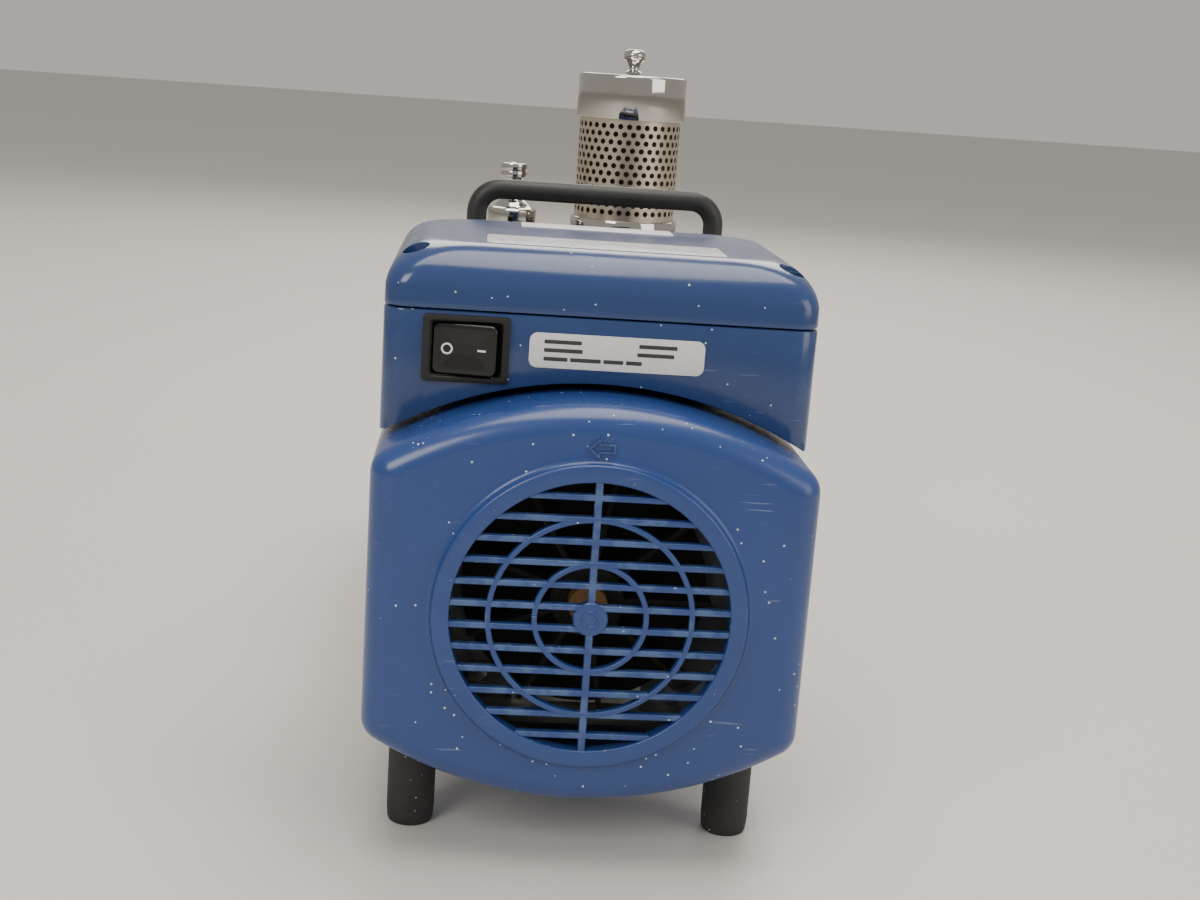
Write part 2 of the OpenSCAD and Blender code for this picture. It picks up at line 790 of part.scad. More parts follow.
module case_bolt_holes(r, y0, y1) {
    for (x = [-1, 1], z = [-1, 0, 1])
        rod_y(r, y0, y1, x * (case_w / 2 - 9), case_mid + z * ((case_top - case_low) / 2 - 10));
}

module oil_case() color("#3b3f44") difference() {
    union() {
        along_y(case_y, case_end) case_outline(0);
        for (x = [-rear_foot_x, rear_foot_x]) rod_z(12, foot_h, case_low + 6, x, rear_foot_y);
        rod_z(24, case_top - 1, base_z, filter_x, port_y);
        rod_z(17, case_top - 1, case_top + 4, inlet_x, port_y);
        rod_z(15, case_top - 1, case_top + 3, ballast_x, ballast_y);
        rod_z(15, case_top - 1, case_top + 3, plug_x, plug_y);
        for (i = [0 : 6]) block(-case_w / 2 - 5, case_w / 2 + 5, 84 + 18 * i, 88 + 18 * i, 66, 172);
    }
    difference() {
        along_y(case_y - eps, case_end - case_wall) case_outline(case_wall);
        for (x = [-1, 1], z = [-1, 0, 1])
            rod_y(7, case_y - 1, case_end, x * (case_w / 2 - 9),
                  case_mid + z * ((case_top - case_low) / 2 - 10));
        for (x = [-rear_foot_x, rear_foot_x]) rod_z(9, case_low, case_low + 14, x, rear_foot_y);
    }
    case_bolt_holes(2.7, case_y - eps, case_end + eps);
    rod_z(17, case_top - 10, base_z + eps, filter_x, port_y);
    rod_z(6.2, case_top - 10, case_top + 5, inlet_x, port_y);
    rod_z(6, case_top - 10, case_top + 4, ballast_x, ballast_y);
    rod_z(10, case_top - 10, case_top + 4, plug_x, plug_y);
    rod_y(10, case_end - 10, case_end + eps, 0, drain_z);
    rod_y(sight_r - 2, case_end - 10, case_end + eps, sight_x, sight_z);
    rod_y(sight_r + 0.2, case_end - 3, case_end + eps, sight_x, sight_z);
    for (x = [-rear_foot_x, rear_foot_x])
        rod_z(foot_screw_r, foot_h - 1, bracket_z + bracket_t + 1, x, rear_foot_y);
}

module case_gasket() color("#1b1b1b") difference() {
    along_y(flange_end, case_y) case_outline(0.5);
    along_y(flange_end - eps, case_y + eps) case_outline(case_wall);
    case_bolt_holes(2.7, flange_end - eps, case_y + eps);
}

module case_bolts() color("#505458") for (x = [-1, 1], z = [-1, 0, 1])
    translate([x * (case_w / 2 - 9), case_end + 4.5, case_mid + z * ((case_top - case_low) / 2 - 10)])
        socket_bolt(case_end - flange_end + 8, 2.5);

module sight_glass() color("#cfe3d8", 0.5)
    rod_y(sight_r, case_end - 3, case_end + 1, sight_x, sight_z);

module sight_ring() color("#8d9194") difference() {
    rod_y(sight_r + 5, case_end, case_end + 5, sight_x, sight_z);
    rod_y(sight_r + 0.2, case_end - 1, case_end + 1, sight_x, sight_z);
    rod_y(sight_r - 3, case_end, case_end + 6, sight_x, sight_z);
}

module plug(flat) {
    cylinder(h = 2.5, r = 14);
    cylinder(h = 6, r = flat, $fn = 6);
    translate([0, 0, -7]) cylinder(h = 7, r = 9.9);
}

// The fill plug on top and the drain plug at the end are the same piece
module oil_plugs() color("#a07c3a") {
    translate([plug_x, plug_y, case_top + 3]) plug(11);
    translate([0, case_end, drain_z]) rotate([-90, 0, 0]) plug(11);
}

module ballast_knob() color("#1a1b1d") translate([ballast_x, ballast_y, case_top + 3.2]) {
    difference() {
        cylinder(h = 11, r = 12);
        for (i = [0 : 11]) rotate([0, 0, 30 * i]) translate([13.2, 0, -1]) cylinder(h = 13, r = 2);
    }
    translate([0, 0, -8]) cylinder(h = 8, r = 6 - run_gap);
}

// ---- ports ----

module inlet_fitting() color("#c7cacc") translate([inlet_x, port_y, 0]) difference() {
    union() {
        rod_z(14, case_top + 4, axis_z + 117);
        translate([0, 0, axis_z + 117]) cylinder(h = 4, r1 = 11, r2 = 7);
        rod_z(5, axis_z + 117, axis_z + 136);
        rod_z(7.5, axis_z + 134, axis_z + 142);
        rod_z(6, case_top - 4, case_top + 4);
    }
    rod_z(3.5, case_top - 6, axis_z + 143);
}

module filter_base() color("#c7cacc") translate([filter_x, port_y, 0]) {
    difference() {
        rod_z(filter_r, base_z, base_top);
        rod_z(sleeve_r + 0.1, sleeve_low, base_top + 1);
        for (a = [0 : 60 : 300]) rotate([0, 0, a]) translate([9, 0, base_z - 1]) cylinder(h = 20, r = 4);
    }
    difference() {
        rod_z(16.9, case_top - 4, base_z);
        rod_z(14, case_top - 5, base_z + 1);
    }
    rod_z(rod_r, base_top - 5, cap_top + 8);
}

// Every row has as many holes as sleeve_cols, and each row is half a step round from the next
module filter_sleeve() color("#b5aa98") translate([filter_x, port_y, 0]) difference() {
    rod_z(sleeve_r, sleeve_low, cap_z + 2);
    rod_z(sleeve_r - sleeve_t, sleeve_low - 1, cap_z + 3);
    for (row = [0 : sleeve_rows - 1], i = [0 : sleeve_cols - 1])
        translate([0, 0, base_top + 4.5 + row * row_pitch])
            rotate([0, 90, (i + (row % 2) / 2) * 360 / sleeve_cols])
                translate([0, 0, sleeve_r - 2]) cylinder(h = 4, r = hole_r);
}

module filter_element() color("#e8e4d8") translate([filter_x, port_y, 0]) difference() {
    rod_z(25, sleeve_low, cap_top - 3);
    rod_z(14, sleeve_low - 1, cap_top);
}

module filter_cap() color("#c7cacc") translate([filter_x, port_y, 0]) difference() {
    rod_z(filter_r, cap_z, cap_top);
    rod_z(sleeve_r + 0.1, cap_z - 1, cap_top - 3);
    rod_z(rod_r + 0.2, cap_z, cap_top + 1);
}

module filter_knob() color("#c7cacc") translate([filter_x, port_y, knob_low]) difference() {
    rotate_extrude() polygon([
        [0, 0], [5, 0], [5, 1.2], [2.9, 2.6], [4, 6.6], [6.4, 8.4], [6.4, 11.6], [4.8, knob_top - knob_low],
        [0, knob_top - knob_low]
    ]);
    translate([0, 0, -1]) cylinder(h = 9.2, r = rod_r + run_gap);
}

// ---- feet ----

module foot_bracket() color("#6e7276") difference() {
    union() {
        block(-68, 68, foot_y - 10, frame_y - shield_t, bracket_z, bracket_z + bracket_t);
        block(-26, 26, frame_y - shield_t - 4, frame_y - shield_t, bracket_z, bracket_z + 24);
    }
    for (x = [-foot_x, foot_x]) rod_z(foot_screw_r, foot_h - 1, bracket_z + 5, x, foot_y);
}

module foot_places() {
    for (x = [-1, 1]) {
        translate([x * foot_x, foot_y, 0]) children();
        translate([x * rear_foot_x, rear_foot_y, 0]) children();
    }
}

module rubber_feet() color("#18191a") foot_places() difference() {
    union() {
        cylinder(h = 2, r1 = foot_d / 2 - 1, r2 = foot_d / 2);
        translate([0, 0, 2]) cylinder(h = foot_h - 2, r = foot_d / 2);
    }
    translate([0, 0, -eps]) cylinder(h = 6 + eps, r = 5.6);
    cylinder(h = foot_h + eps, r = foot_screw_r);
}

module foot_screws() color("#6e7276") foot_places() {
    translate([0, 0, 3]) cylinder(h = 3, r = 5);
    translate([0, 0, 3]) cylinder(h = bracket_z + bracket_t - 3, r = foot_screw_r);
}

fan_cowl();
terminal_box();
box_cover();
housing_screws();
switch_housing();
switch_rocker();
rating_label();
cover_labels();
mains_inlet();
run_capacitor();
terminal_block();
motor_frame();
rear_shield();
front_shield();
tie_bolts();
stator_core();
stator_windings();
rotor_core();
motor_shaft();
motor_bearings();
cooling_fan();
motor_hub();
coupling_spider();
pump_hub();
lantern();
carry_handle();
pump_flange();
shaft_seal();
pump_rotor();
lv_stator();
middle_plate();
hv_stator();
end_plate();
module_bolts();
hv_vane_a();
hv_vane_b();
lv_vane_a();
lv_vane_b();
vane_springs();
valve_leaf();
valve_stop();
inlet_duct();
inlet_valve();
inlet_valve_spring();
oil_case();
case_gasket();
case_bolts();
sight_glass();
sight_ring();
oil_plugs();
ballast_knob();
inlet_fitting();
filter_base();
filter_sleeve();
filter_element();
filter_cap();
filter_knob();
foot_bracket();
rubber_feet();
foot_screws();
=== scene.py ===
import json
import math

import bmesh
import bpy
from mathutils import Matrix, Vector


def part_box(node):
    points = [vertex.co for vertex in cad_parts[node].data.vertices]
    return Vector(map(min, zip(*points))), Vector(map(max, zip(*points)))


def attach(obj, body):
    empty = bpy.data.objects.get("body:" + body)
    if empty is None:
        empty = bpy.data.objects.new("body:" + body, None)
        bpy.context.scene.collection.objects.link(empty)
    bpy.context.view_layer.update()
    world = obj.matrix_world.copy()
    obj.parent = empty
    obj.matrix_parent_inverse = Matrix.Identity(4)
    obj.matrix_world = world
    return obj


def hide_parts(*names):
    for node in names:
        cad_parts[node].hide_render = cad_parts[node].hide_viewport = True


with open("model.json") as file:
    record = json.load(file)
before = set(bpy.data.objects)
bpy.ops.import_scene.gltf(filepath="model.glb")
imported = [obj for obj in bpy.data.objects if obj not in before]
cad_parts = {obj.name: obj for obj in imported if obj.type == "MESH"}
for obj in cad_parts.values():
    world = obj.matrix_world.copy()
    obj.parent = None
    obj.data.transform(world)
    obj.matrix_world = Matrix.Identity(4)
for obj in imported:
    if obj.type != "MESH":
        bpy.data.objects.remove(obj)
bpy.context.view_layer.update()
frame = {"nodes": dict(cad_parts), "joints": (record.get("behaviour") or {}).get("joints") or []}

MM = 0.001
SAME_POINT = 0.002 * MM
TOO_SHORT = 0.001 * MM
WELD = 0.01 * MM
RELIEF = 0.4 * MM               # height that the surface grain stands for


# ---- reading the frame ----

class Span:
    """The box of one CAD node, in millimetres."""

    def __init__(self, node):
        low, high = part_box(node)
        self.x0, self.y0, self.z0 = (v / MM for v in low)
        self.x1, self.y1, self.z1 = (v / MM for v in high)
        self.x, self.y, self.z = (self.x0 + self.x1) / 2, (self.y0 + self.y1) / 2, (self.z0 + self.z1) / 2
        self.w, self.l, self.h = self.x1 - self.x0, self.y1 - self.y0, self.z1 - self.z0


def joint_place(name):
    joint = next(j for j in frame["joints"] if j["name"] == name)
    return Vector(joint["pos_m"]) / MM


AXIS_Z = joint_place("shaft_spin").z


# ---- making meshes ----

def loft(loops, round_trip=False):
    """Skins loops of equal length one after another, as (points, faces)."""
    n = len(loops[0])
    points = [p for loop in loops for p in loop]
    faces = []
    for i in range(len(loops) if round_trip else len(loops) - 1):
        a, b = i * n, ((i + 1) % len(loops)) * n
        faces += [(a + k, a + (k + 1) % n, b + (k + 1) % n, b + k) for k in range(n)]
    if not round_trip:
        faces += [tuple(range(n)), tuple(range(len(points) - n, len(points)))]
    return points, faces


def join(*forms):
    points, faces = [], []
    for more_points, more_faces in forms:
        start = len(points)
        points += more_points
        faces += [tuple(start + k for k in face) for face in more_faces]
    return points, faces


def moved(form, x=0, y=0, z=0):
    return [(p[0] + x, p[1] + y, p[2] + z) for p in form[0]], form[1]


def turned(form, matrix):
    return [tuple(matrix @ Vector(p)) for p in form[0]], form[1]


def lathe(profile, steps, round_trip=False):
    """Turns (radius, height) pairs about Z."""
    loops = [[(r * math.cos(a), r * math.sin(a), h) for a in turns(steps)] for r, h in profile]
    return loft(loops, round_trip)


def turns(steps):
    return [2 * math.pi * k / steps for k in range(steps)]


LYING = Matrix.Rotation(math.radians(-90), 3, "X")      # brings +Z onto +Y


def lathe_y(profile, steps, round_trip=False):
    """Turns (radius, y) pairs about the Y direction."""
    return turned(lathe(profile, steps, round_trip), LYING)


def rounded_loop(w, h, r, steps=10):
    """A rectangle with round corners, as (u, v) points with the same count at any size."""
    loop = []
    for quarter, (sx, sy) in enumerate([(1, 1), (-1, 1), (-1, -1), (1, -1)]):
        for k in range(steps + 1):
            a = math.pi / 2 * (quarter + k / steps)
            loop.append((sx * (w / 2 - r) + r * math.cos(a), sy * (h / 2 - r) + r * math.sin(a)))
    return loop


def edge_rows(radius, steps=4):
    """(inset, drop) pairs of a quarter round, from the side to the face."""
    angles = [math.pi / 2 * k / steps for k in range(steps + 1)]
    return [(radius * (1 - math.cos(a)), radius * (1 - math.sin(a))) for a in angles]


def pill(w, h, depth, r, edge, plane="XY", steps=6):
    """A plate w by h with round corners and rounded edges. Its middle plane lies on the given plane."""
    loops = []
    for side in (-1, 1):
        rows = edge_rows(edge)
        for inset, drop in (reversed(rows) if side < 0 else rows):
            flat = rounded_loop(w - 2 * inset, h - 2 * inset, max(r - inset, 0.02), steps)
            loops.append([(u, v, side * (depth / 2 - drop)) for u, v in flat])
    form = loft(loops)
    if plane == "XZ":
        return [(p[0], p[2], p[1]) for p in form[0]], form[1]
    if plane == "YZ":
        return [(p[2], p[0], p[1]) for p in form[0]], form[1]
    return form


TUBE_SIDES = 28


def tube(path, radius):
    """A round bar along a path that stays in one XZ plane."""
    loops = []
    for k, point in enumerate(path):
        before, after = path[max(k - 1, 0)], path[min(k + 1, len(path) - 1)]
        along = (Vector(after) - Vector(before)).normalized()
        side = Vector((0, 1, 0))
        up = along.cross(side)
        loops.append([tuple(Vector(point) + radius * (math.cos(a) * side + math.sin(a) * up))
                      for a in turns(TUBE_SIDES)])
    return loft(loops)


def make(name, form, material, body="housing", stands_for=(), crease=32):
    """Makes one piece of the object from a form, and hides the CAD nodes that it stands for."""
    mesh = bpy.data.meshes.new(name)
    mesh.from_pydata([Vector(p) * MM for p in form[0]], [], form[1])
    bm = bmesh.new()
    bm.from_mesh(mesh)
    bmesh.ops.remove_doubles(bm, verts=bm.verts, dist=SAME_POINT)
    bmesh.ops.dissolve_degenerate(bm, edges=bm.edges, dist=TOO_SHORT)
    bmesh.ops.recalc_face_normals(bm, faces=bm.faces)
    bm.to_mesh(mesh)
    bm.free()
    piece = bpy.data.objects.new(name, mesh)
    bpy.context.scene.collection.objects.link(piece)
    mesh.materials.append(material)
    shade(mesh, crease)
    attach(piece, body)
    if stands_for:
        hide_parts(*stands_for)
    return piece


def shade(mesh, crease):
    mesh.polygons.foreach_set("use_smooth", [True] * len(mesh.polygons))
    mesh.set_sharp_from_angle(angle=math.radians(crease))


def carve(piece, form, operation="DIFFERENCE"):
    """Cuts a form out of a piece, or joins it on."""
    mesh = bpy.data.meshes.new("tool")
    mesh.from_pydata([Vector(p) * MM for p in form[0]], [], form[1])
    bm = bmesh.new()
    bm.from_mesh(mesh)
    bmesh.ops.recalc_face_normals(bm, faces=bm.faces)
    bm.to_mesh(mesh)
    bm.free()
    tool = bpy.data.objects.new("tool", mesh)
    bpy.context.scene.collection.objects.link(tool)
    change = piece.modifiers.new("cut", "BOOLEAN")
    change.operation = operation
    change.object = tool
    change.solver = "EXACT"
    result = bpy.data.meshes.new_from_object(piece.evaluated_get(bpy.context.evaluated_depsgraph_get()))
    piece.modifiers.clear()
    piece.data = result
    shade(result, 40)
    bpy.data.objects.remove(tool)


# ---- shader groups that the finishes share ----

def new_group(name, inputs, outputs):
    group = bpy.data.node_groups.new(name, "ShaderNodeTree")
    for label, kind, value in inputs:
        socket = group.interface.new_socket(name=label, in_out="INPUT", socket_type=kind)
        socket.default_value = value
    for label, kind in outputs:
        group.interface.new_socket(name=label, in_out="OUTPUT", socket_type=kind)
    add = group.nodes.new
    return group, add("NodeGroupInput"), add("NodeGroupOutput"), add("ShaderNodeTexCoord")


def math_node(tree, operation, a, b=0.0):
    node = tree.nodes.new("ShaderNodeMath")
    node.operation = operation
    for socket, value in zip(node.inputs, (a, b)):
        plug(tree, value, socket)
    return node.outputs[0]


def plug(tree, value, socket):
    if isinstance(value, bpy.types.NodeSocket):
        tree.links.new(value, socket)
    else:
        socket.default_value = value


def blend_colour(tree, share, first, second):
    node = tree.nodes.new("ShaderNodeMix")
    node.data_type = "RGBA"
    plug(tree, share, node.inputs["Factor"])
    first_colour, second_colour, mixed_colour = node.inputs[6], node.inputs[7], node.outputs[2]
    plug(tree, first, first_colour)
    plug(tree, second, second_colour)
    return mixed_colour


def noise(tree, where, scale, detail=4.0):
    node = tree.nodes.new("ShaderNodeTexNoise")
    tree.links.new(where, node.inputs["Vector"])
    plug(tree, scale, node.inputs["Scale"])
    node.inputs["Detail"].default_value = detail
    node.inputs["Roughness"].default_value = 0.55
    return node.outputs["Fac"]


def ramp(tree, value, low, high):
    node = tree.nodes.new("ShaderNodeMapRange")
    node.interpolation_type = "SMOOTHSTEP"
    for socket, v in zip(node.inputs, (value, low, high, 0.0, 1.0)):
        plug(tree, v, socket)
    return node.outputs[0]


def tone_group():
    """Slow and quick changes of tone between two colours."""
    group, given, out, where = new_group(
        "uneven_tone",
        [("Colour", "NodeSocketColor", (0.5, 0.5, 0.5, 1)), ("Second", "NodeSocketColor", (0.4, 0.4, 0.4, 1)),
         ("Scale", "NodeSocketFloat", 20.0), ("Amount", "NodeSocketFloat", 0.5)],
        [("Colour", "NodeSocketColor"), ("Mask", "NodeSocketFloat")])
    slow = noise(group, where.outputs["Object"], given.outputs["Scale"], 3.0)
    quick = noise(group, where.outputs["Object"], math_node(group, "MULTIPLY", given.outputs["Scale"], 9.0))
    most, rest = math_node(group, "MULTIPLY", slow, 0.7), math_node(group, "MULTIPLY", quick, 0.3)
    both = math_node(group, "ADD", most, rest)
    mask = ramp(group, both, 0.35, 0.68)
    share = math_node(group, "MULTIPLY", mask, given.outputs["Amount"])
    colour = blend_colour(group, share, given.outputs["Colour"], given.outputs["Second"])
    group.links.new(colour, out.inputs["Colour"])
    group.links.new(mask, out.inputs["Mask"])
    return group


def dust_group():
    """Small pale specks of dust, scattered in different sizes."""
    group, given, out, where = new_group(
        "dust_specks",
        [("Colour", "NodeSocketColor", (0.5, 0.5, 0.5, 1)), ("Dust", "NodeSocketColor", (0.8, 0.8, 0.8, 1)),
         ("Scale", "NodeSocketFloat", 400.0), ("Share", "NodeSocketFloat", 0.1),
         ("Amount", "NodeSocketFloat", 0.5)],
        [("Colour", "NodeSocketColor"), ("Mask", "NodeSocketFloat")])
    cells = group.nodes.new("ShaderNodeTexVoronoi")
    group.links.new(where.outputs["Object"], cells.inputs["Vector"])
    group.links.new(given.outputs["Scale"], cells.inputs["Scale"])
    pick = group.nodes.new("ShaderNodeSeparateColor")
    group.links.new(cells.outputs["Color"], pick.inputs["Color"])
    chosen = math_node(group, "LESS_THAN", pick.outputs["Red"], given.outputs["Share"])
    size = math_node(group, "MULTIPLY", pick.outputs["Green"], 0.22)
    ragged = math_node(group, "MULTIPLY", noise(group, where.outputs["Object"], 2500.0, 2.0), 0.14)
    reach = math_node(group, "ADD", cells.outputs["Distance"], ragged)
    dot = math_node(group, "LESS_THAN", reach, math_node(group, "ADD", size, 0.1))
    mask = math_node(group, "MULTIPLY", math_node(group, "MULTIPLY", chosen, dot), given.outputs["Amount"])
    dusted = blend_colour(group, mask, given.outputs["Colour"], given.outputs["Dust"])
    group.links.new(dusted, out.inputs["Colour"])
    group.links.new(mask, out.inputs["Mask"])
    return group


def scratch_group():
    """Short, straight, nearly parallel scratches, in patches."""
    group, given, out, where = new_group(
        "fine_scratches",
        [("Scale", "NodeSocketFloat", 60.0), ("Amount", "NodeSocketFloat", 0.5)],
        [("Mask", "NodeSocketFloat")])
    stretched = group.nodes.new("ShaderNodeMapping")
    stretched.inputs["Rotation"].default_value = (0.5, 0.7, 0.4)
    stretched.inputs["Scale"].default_value = (0.05, 0.05, 1.0)
    group.links.new(where.outputs["Object"], stretched.inputs["Vector"])
    fine = math_node(group, "MULTIPLY", given.outputs["Scale"], 22.0)
    streaks = noise(group, stretched.outputs["Vector"], fine, 0.0)
    thin = ramp(group, streaks, 0.75, 0.81)
    patch = ramp(group, noise(group, where.outputs["Object"], 38.0, 2.0), 0.55, 0.64)
    mask = math_node(group, "MULTIPLY", math_node(group, "MULTIPLY", thin, patch), given.outputs["Amount"])
    group.links.new(mask, out.inputs["Mask"])
    return group


def grain_group():
    """The height of a moulded, cast or pressed surface."""
    group, given, out, where = new_group(
        "surface_grain",
        [("Scale", "NodeSocketFloat", 900.0), ("Ripple", "NodeSocketFloat", 25.0),
         ("Share", "NodeSocketFloat", 0.3)],
        [("Height", "NodeSocketFloat")])
    fine = noise(group, where.outputs["Object"], given.outputs["Scale"], 3.0)
    broad = noise(group, where.outputs["Object"], given.outputs["Ripple"], 1.0)
    height = math_node(group, "ADD", fine, math_node(group, "MULTIPLY", broad, given.outputs["Share"]))
    group.links.new(height, out.inputs["Height"])
    return group


def wear_group():
    """Where edges stand out and get rubbed."""
    group, given, out, where = new_group(
        "edge_wear",
        [("Amount", "NodeSocketFloat", 0.5), ("Scale", "NodeSocketFloat", 120.0)],
        [("Mask", "NodeSocketFloat")])
    shape = group.nodes.new("ShaderNodeNewGeometry")
    edge = ramp(group, shape.outputs["Pointiness"], 0.53, 0.6)
    broken = ramp(group, noise(group, where.outputs["Object"], given.outputs["Scale"]), 0.42, 0.62)
    mask = math_node(group, "MULTIPLY", math_node(group, "MULTIPLY", edge, broken), given.outputs["Amount"])
    group.links.new(mask, out.inputs["Mask"])
    return group


GROUPS = {"tone": tone_group(), "dust": dust_group(), "scratch": scratch_group(),
          "grain": grain_group(), "wear": wear_group()}


def place(tree, group, **values):
    node = tree.nodes.new("ShaderNodeGroup")
    node.node_tree = GROUPS[group]
    for label, value in values.items():
        plug(tree, value, node.inputs[label])
    return node


def rgb(red, green, blue):
    return (red, green, blue, 1.0)


def finish(name, colour, second, rough, metallic=0.0, tone=(25.0, 0.5), dust=None, scratch=None,
           wear=None, grain=(900.0, 0.05), ripple=0.0, coat=0.0, rough_swing=0.08, pattern=None):
    """A material from the shared groups. Its values are tone (scale, amount), dust (scale, share, amount),
    scratch (scale, amount, colour), wear (amount, colour) and grain (scale, strength). pattern may add a mask
    and a colour of its own."""
    material = bpy.data.materials.new(name)
    material.use_nodes = True
    tree = material.node_tree
    shader = tree.nodes["Principled BSDF"]
    shader.inputs["Metallic"].default_value = metallic
    shader.inputs["Coat Weight"].default_value = coat
    shader.inputs["Coat Roughness"].default_value = 0.06
    uneven = place(tree, "tone", Colour=colour, Second=second, Scale=tone[0], Amount=tone[1])
    now = uneven.outputs["Colour"]
    roughness = math_node(tree, "ADD", rough - rough_swing / 2,
                          math_node(tree, "MULTIPLY", uneven.outputs["Mask"], rough_swing))
    if pattern:
        mask, ink = pattern(tree)
        now = blend_colour(tree, mask, now, ink)
    if wear:
        rubbed = place(tree, "wear", Amount=wear[0])
        now = blend_colour(tree, rubbed.outputs["Mask"], now, wear[1])
    if scratch:
        lines = place(tree, "scratch", Scale=scratch[0], Amount=scratch[1])
        now = blend_colour(tree, lines.outputs["Mask"], now, scratch[2])
        dulled = math_node(tree, "MULTIPLY", lines.outputs["Mask"], 0.3)
        roughness = math_node(tree, "ADD", roughness, dulled)
    if dust:
        specks = place(tree, "dust", Colour=now, Scale=dust[0], Share=dust[1], Amount=dust[2])
        now = specks.outputs["Colour"]
        dulled = math_node(tree, "MULTIPLY", specks.outputs["Mask"], 0.5)
        roughness = math_node(tree, "ADD", roughness, dulled)
    tree.links.new(now, shader.inputs["Base Color"])
    tree.links.new(roughness, shader.inputs["Roughness"])
    skin = place(tree, "grain", Scale=grain[0], Share=ripple)
    bump = tree.nodes.new("ShaderNodeBump")
    bump.inputs["Strength"].default_value = grain[1]
    bump.inputs["Distance"].default_value = RELIEF
    tree.links.new(skin.outputs["Height"], bump.inputs["Height"])
    tree.links.new(bump.outputs["Normal"], shader.inputs["Normal"])
    return material


def object_axes(tree):
    where = tree.nodes.new("ShaderNodeTexCoord")
    parts = tree.nodes.new("ShaderNodeSeparateXYZ")
    tree.links.new(where.outputs["Object"], parts.inputs[0])
    return where.outputs["Object"], parts.outputs


def stripes(pitch, share, ink):
    """Even lines across the shaft's direction, such as laminations or wire."""
    def pattern(tree):
        _, parts = object_axes(tree)
        along = math_node(tree, "FRACT", math_node(tree, "DIVIDE", parts[1], pitch * MM))
        return math_node(tree, "LESS_THAN", along, share), ink
    return pattern


def small_print(x_pitch, y_pitch, ink):
    """Rows of short marks that read as small print from a distance and spell nothing."""
    def pattern(tree):
        where, parts = object_axes(tree)
        row = math_node(tree, "FRACT", math_node(tree, "DIVIDE", parts[1], y_pitch * MM))
        mark = math_node(tree, "GREATER_THAN", noise(tree, where, 1.0 / (x_pitch * MM), 1.0), 0.47)
        lit = math_node(tree, "MULTIPLY", math_node(tree, "LESS_THAN", row, 0.55), mark)
        return math_node(tree, "MULTIPLY", lit, 0.6), ink
    return pattern


def blue_cowl():
    return finish("blue_cowl", rgb(0.02, 0.054, 0.2), rgb(0.017, 0.046, 0.175), 0.3, tone=(12.0, 0.7),
                  dust=(560.0, 0.06, 0.75), scratch=(55.0, 0.35, rgb(0.25, 0.33, 0.46)),
                  wear=(0.35, rgb(0.12, 0.2, 0.36)), grain=(1400.0, 0.05), ripple=0.5, coat=0.12)


def blue_box():
    return finish("blue_box", rgb(0.021, 0.049, 0.156), rgb(0.018, 0.042, 0.138), 0.22, tone=(14.0, 0.7),
                  dust=(520.0, 0.045, 0.75), scratch=(70.0, 0.35, rgb(0.3, 0.37, 0.47)),
                  wear=(0.3, rgb(0.12, 0.18, 0.3)), grain=(1500.0, 0.04), ripple=0.6, coat=0.15)


def black_frame():
    return finish("black_frame", rgb(0.005, 0.005, 0.005), rgb(0.009, 0.009, 0.009), 0.5,
                  dust=(420.0, 0.05, 0.35), grain=(1800.0, 0.12))


def rocker_black():
    return finish("rocker_black", rgb(0.003, 0.003, 0.003), rgb(0.006, 0.006, 0.006), 0.26,
                  dust=(620.0, 0.03, 0.3), grain=(1500.0, 0.04))


def white_mark():
    return finish("white_mark", rgb(0.82, 0.82, 0.8), rgb(0.7, 0.7, 0.68), 0.5)


def silver_film():
    return finish("silver_film", rgb(0.68, 0.69, 0.7), rgb(0.6, 0.61, 0.62), 0.38, tone=(60.0, 0.5),
                  dust=(500.0, 0.03, 0.5), coat=0.15)


def label_ink():
    return finish("label_ink", rgb(0.03, 0.03, 0.03), rgb(0.05, 0.05, 0.05), 0.5)


def printed_film():
    return finish("printed_film", rgb(0.7, 0.71, 0.72), rgb(0.62, 0.63, 0.64), 0.3, coat=0.2,
                  pattern=small_print(1.3, 2.1, rgb(0.2, 0.21, 0.22)))


def polished_plate():
    return finish("polished_plate", rgb(0.5, 0.485, 0.46), rgb(0.42, 0.405, 0.38), 0.07, metallic=1.0,
                  tone=(30.0, 0.4), scratch=(90.0, 0.25, rgb(0.5, 0.5, 0.48)), grain=(300.0, 0.02),
                  ripple=0.4, rough_swing=0.06)


def perforated_steel():
    return finish("perforated_steel", rgb(0.56, 0.49, 0.4), rgb(0.42, 0.37, 0.3), 0.34, metallic=1.0,
                  tone=(50.0, 0.6), dust=(500.0, 0.08, 0.3), grain=(900.0, 0.08))


# Painted shade: the filter element is given a dark brown colour that stands for the shade inside the
# perforated sleeve, so the sleeve's holes read dark.
def painted_shade_fleece():
    return finish("painted_shade_fleece", rgb(0.08, 0.065, 0.045), rgb(0.03, 0.024, 0.018), 0.8, tone=(90.0, 0.8),
                  grain=(1500.0, 0.5))


def coated_handle():
    return finish("coated_handle", rgb(0.016, 0.016, 0.016), rgb(0.026, 0.025, 0.024), 0.5, tone=(60.0, 0.5),
                  dust=(480.0, 0.05, 0.35), wear=(0.3, rgb(0.12, 0.12, 0.11)), grain=(2200.0, 0.18))


def foot_rubber():
    return finish("foot_rubber", rgb(0.016, 0.016, 0.017), rgb(0.035, 0.034, 0.033), 0.72, tone=(70.0, 0.6),
                  dust=(420.0, 0.14, 0.4), grain=(1300.0, 0.3))


def case_paint():
    return finish("case_paint", rgb(0.045, 0.05, 0.056), rgb(0.032, 0.036, 0.041), 0.46, tone=(18.0, 0.6),
                  dust=(350.0, 0.06, 0.4), wear=(0.5, rgb(0.3, 0.31, 0.32)), grain=(700.0, 0.35), ripple=0.3)


def bare_casting():
    return finish("bare_casting", rgb(0.36, 0.37, 0.38), rgb(0.27, 0.28, 0.29), 0.5, metallic=0.75,
                  tone=(35.0, 0.7), dust=(380.0, 0.08, 0.35), wear=(0.5, rgb(0.55, 0.56, 0.57)),
                  grain=(800.0, 0.4), ripple=0.3)


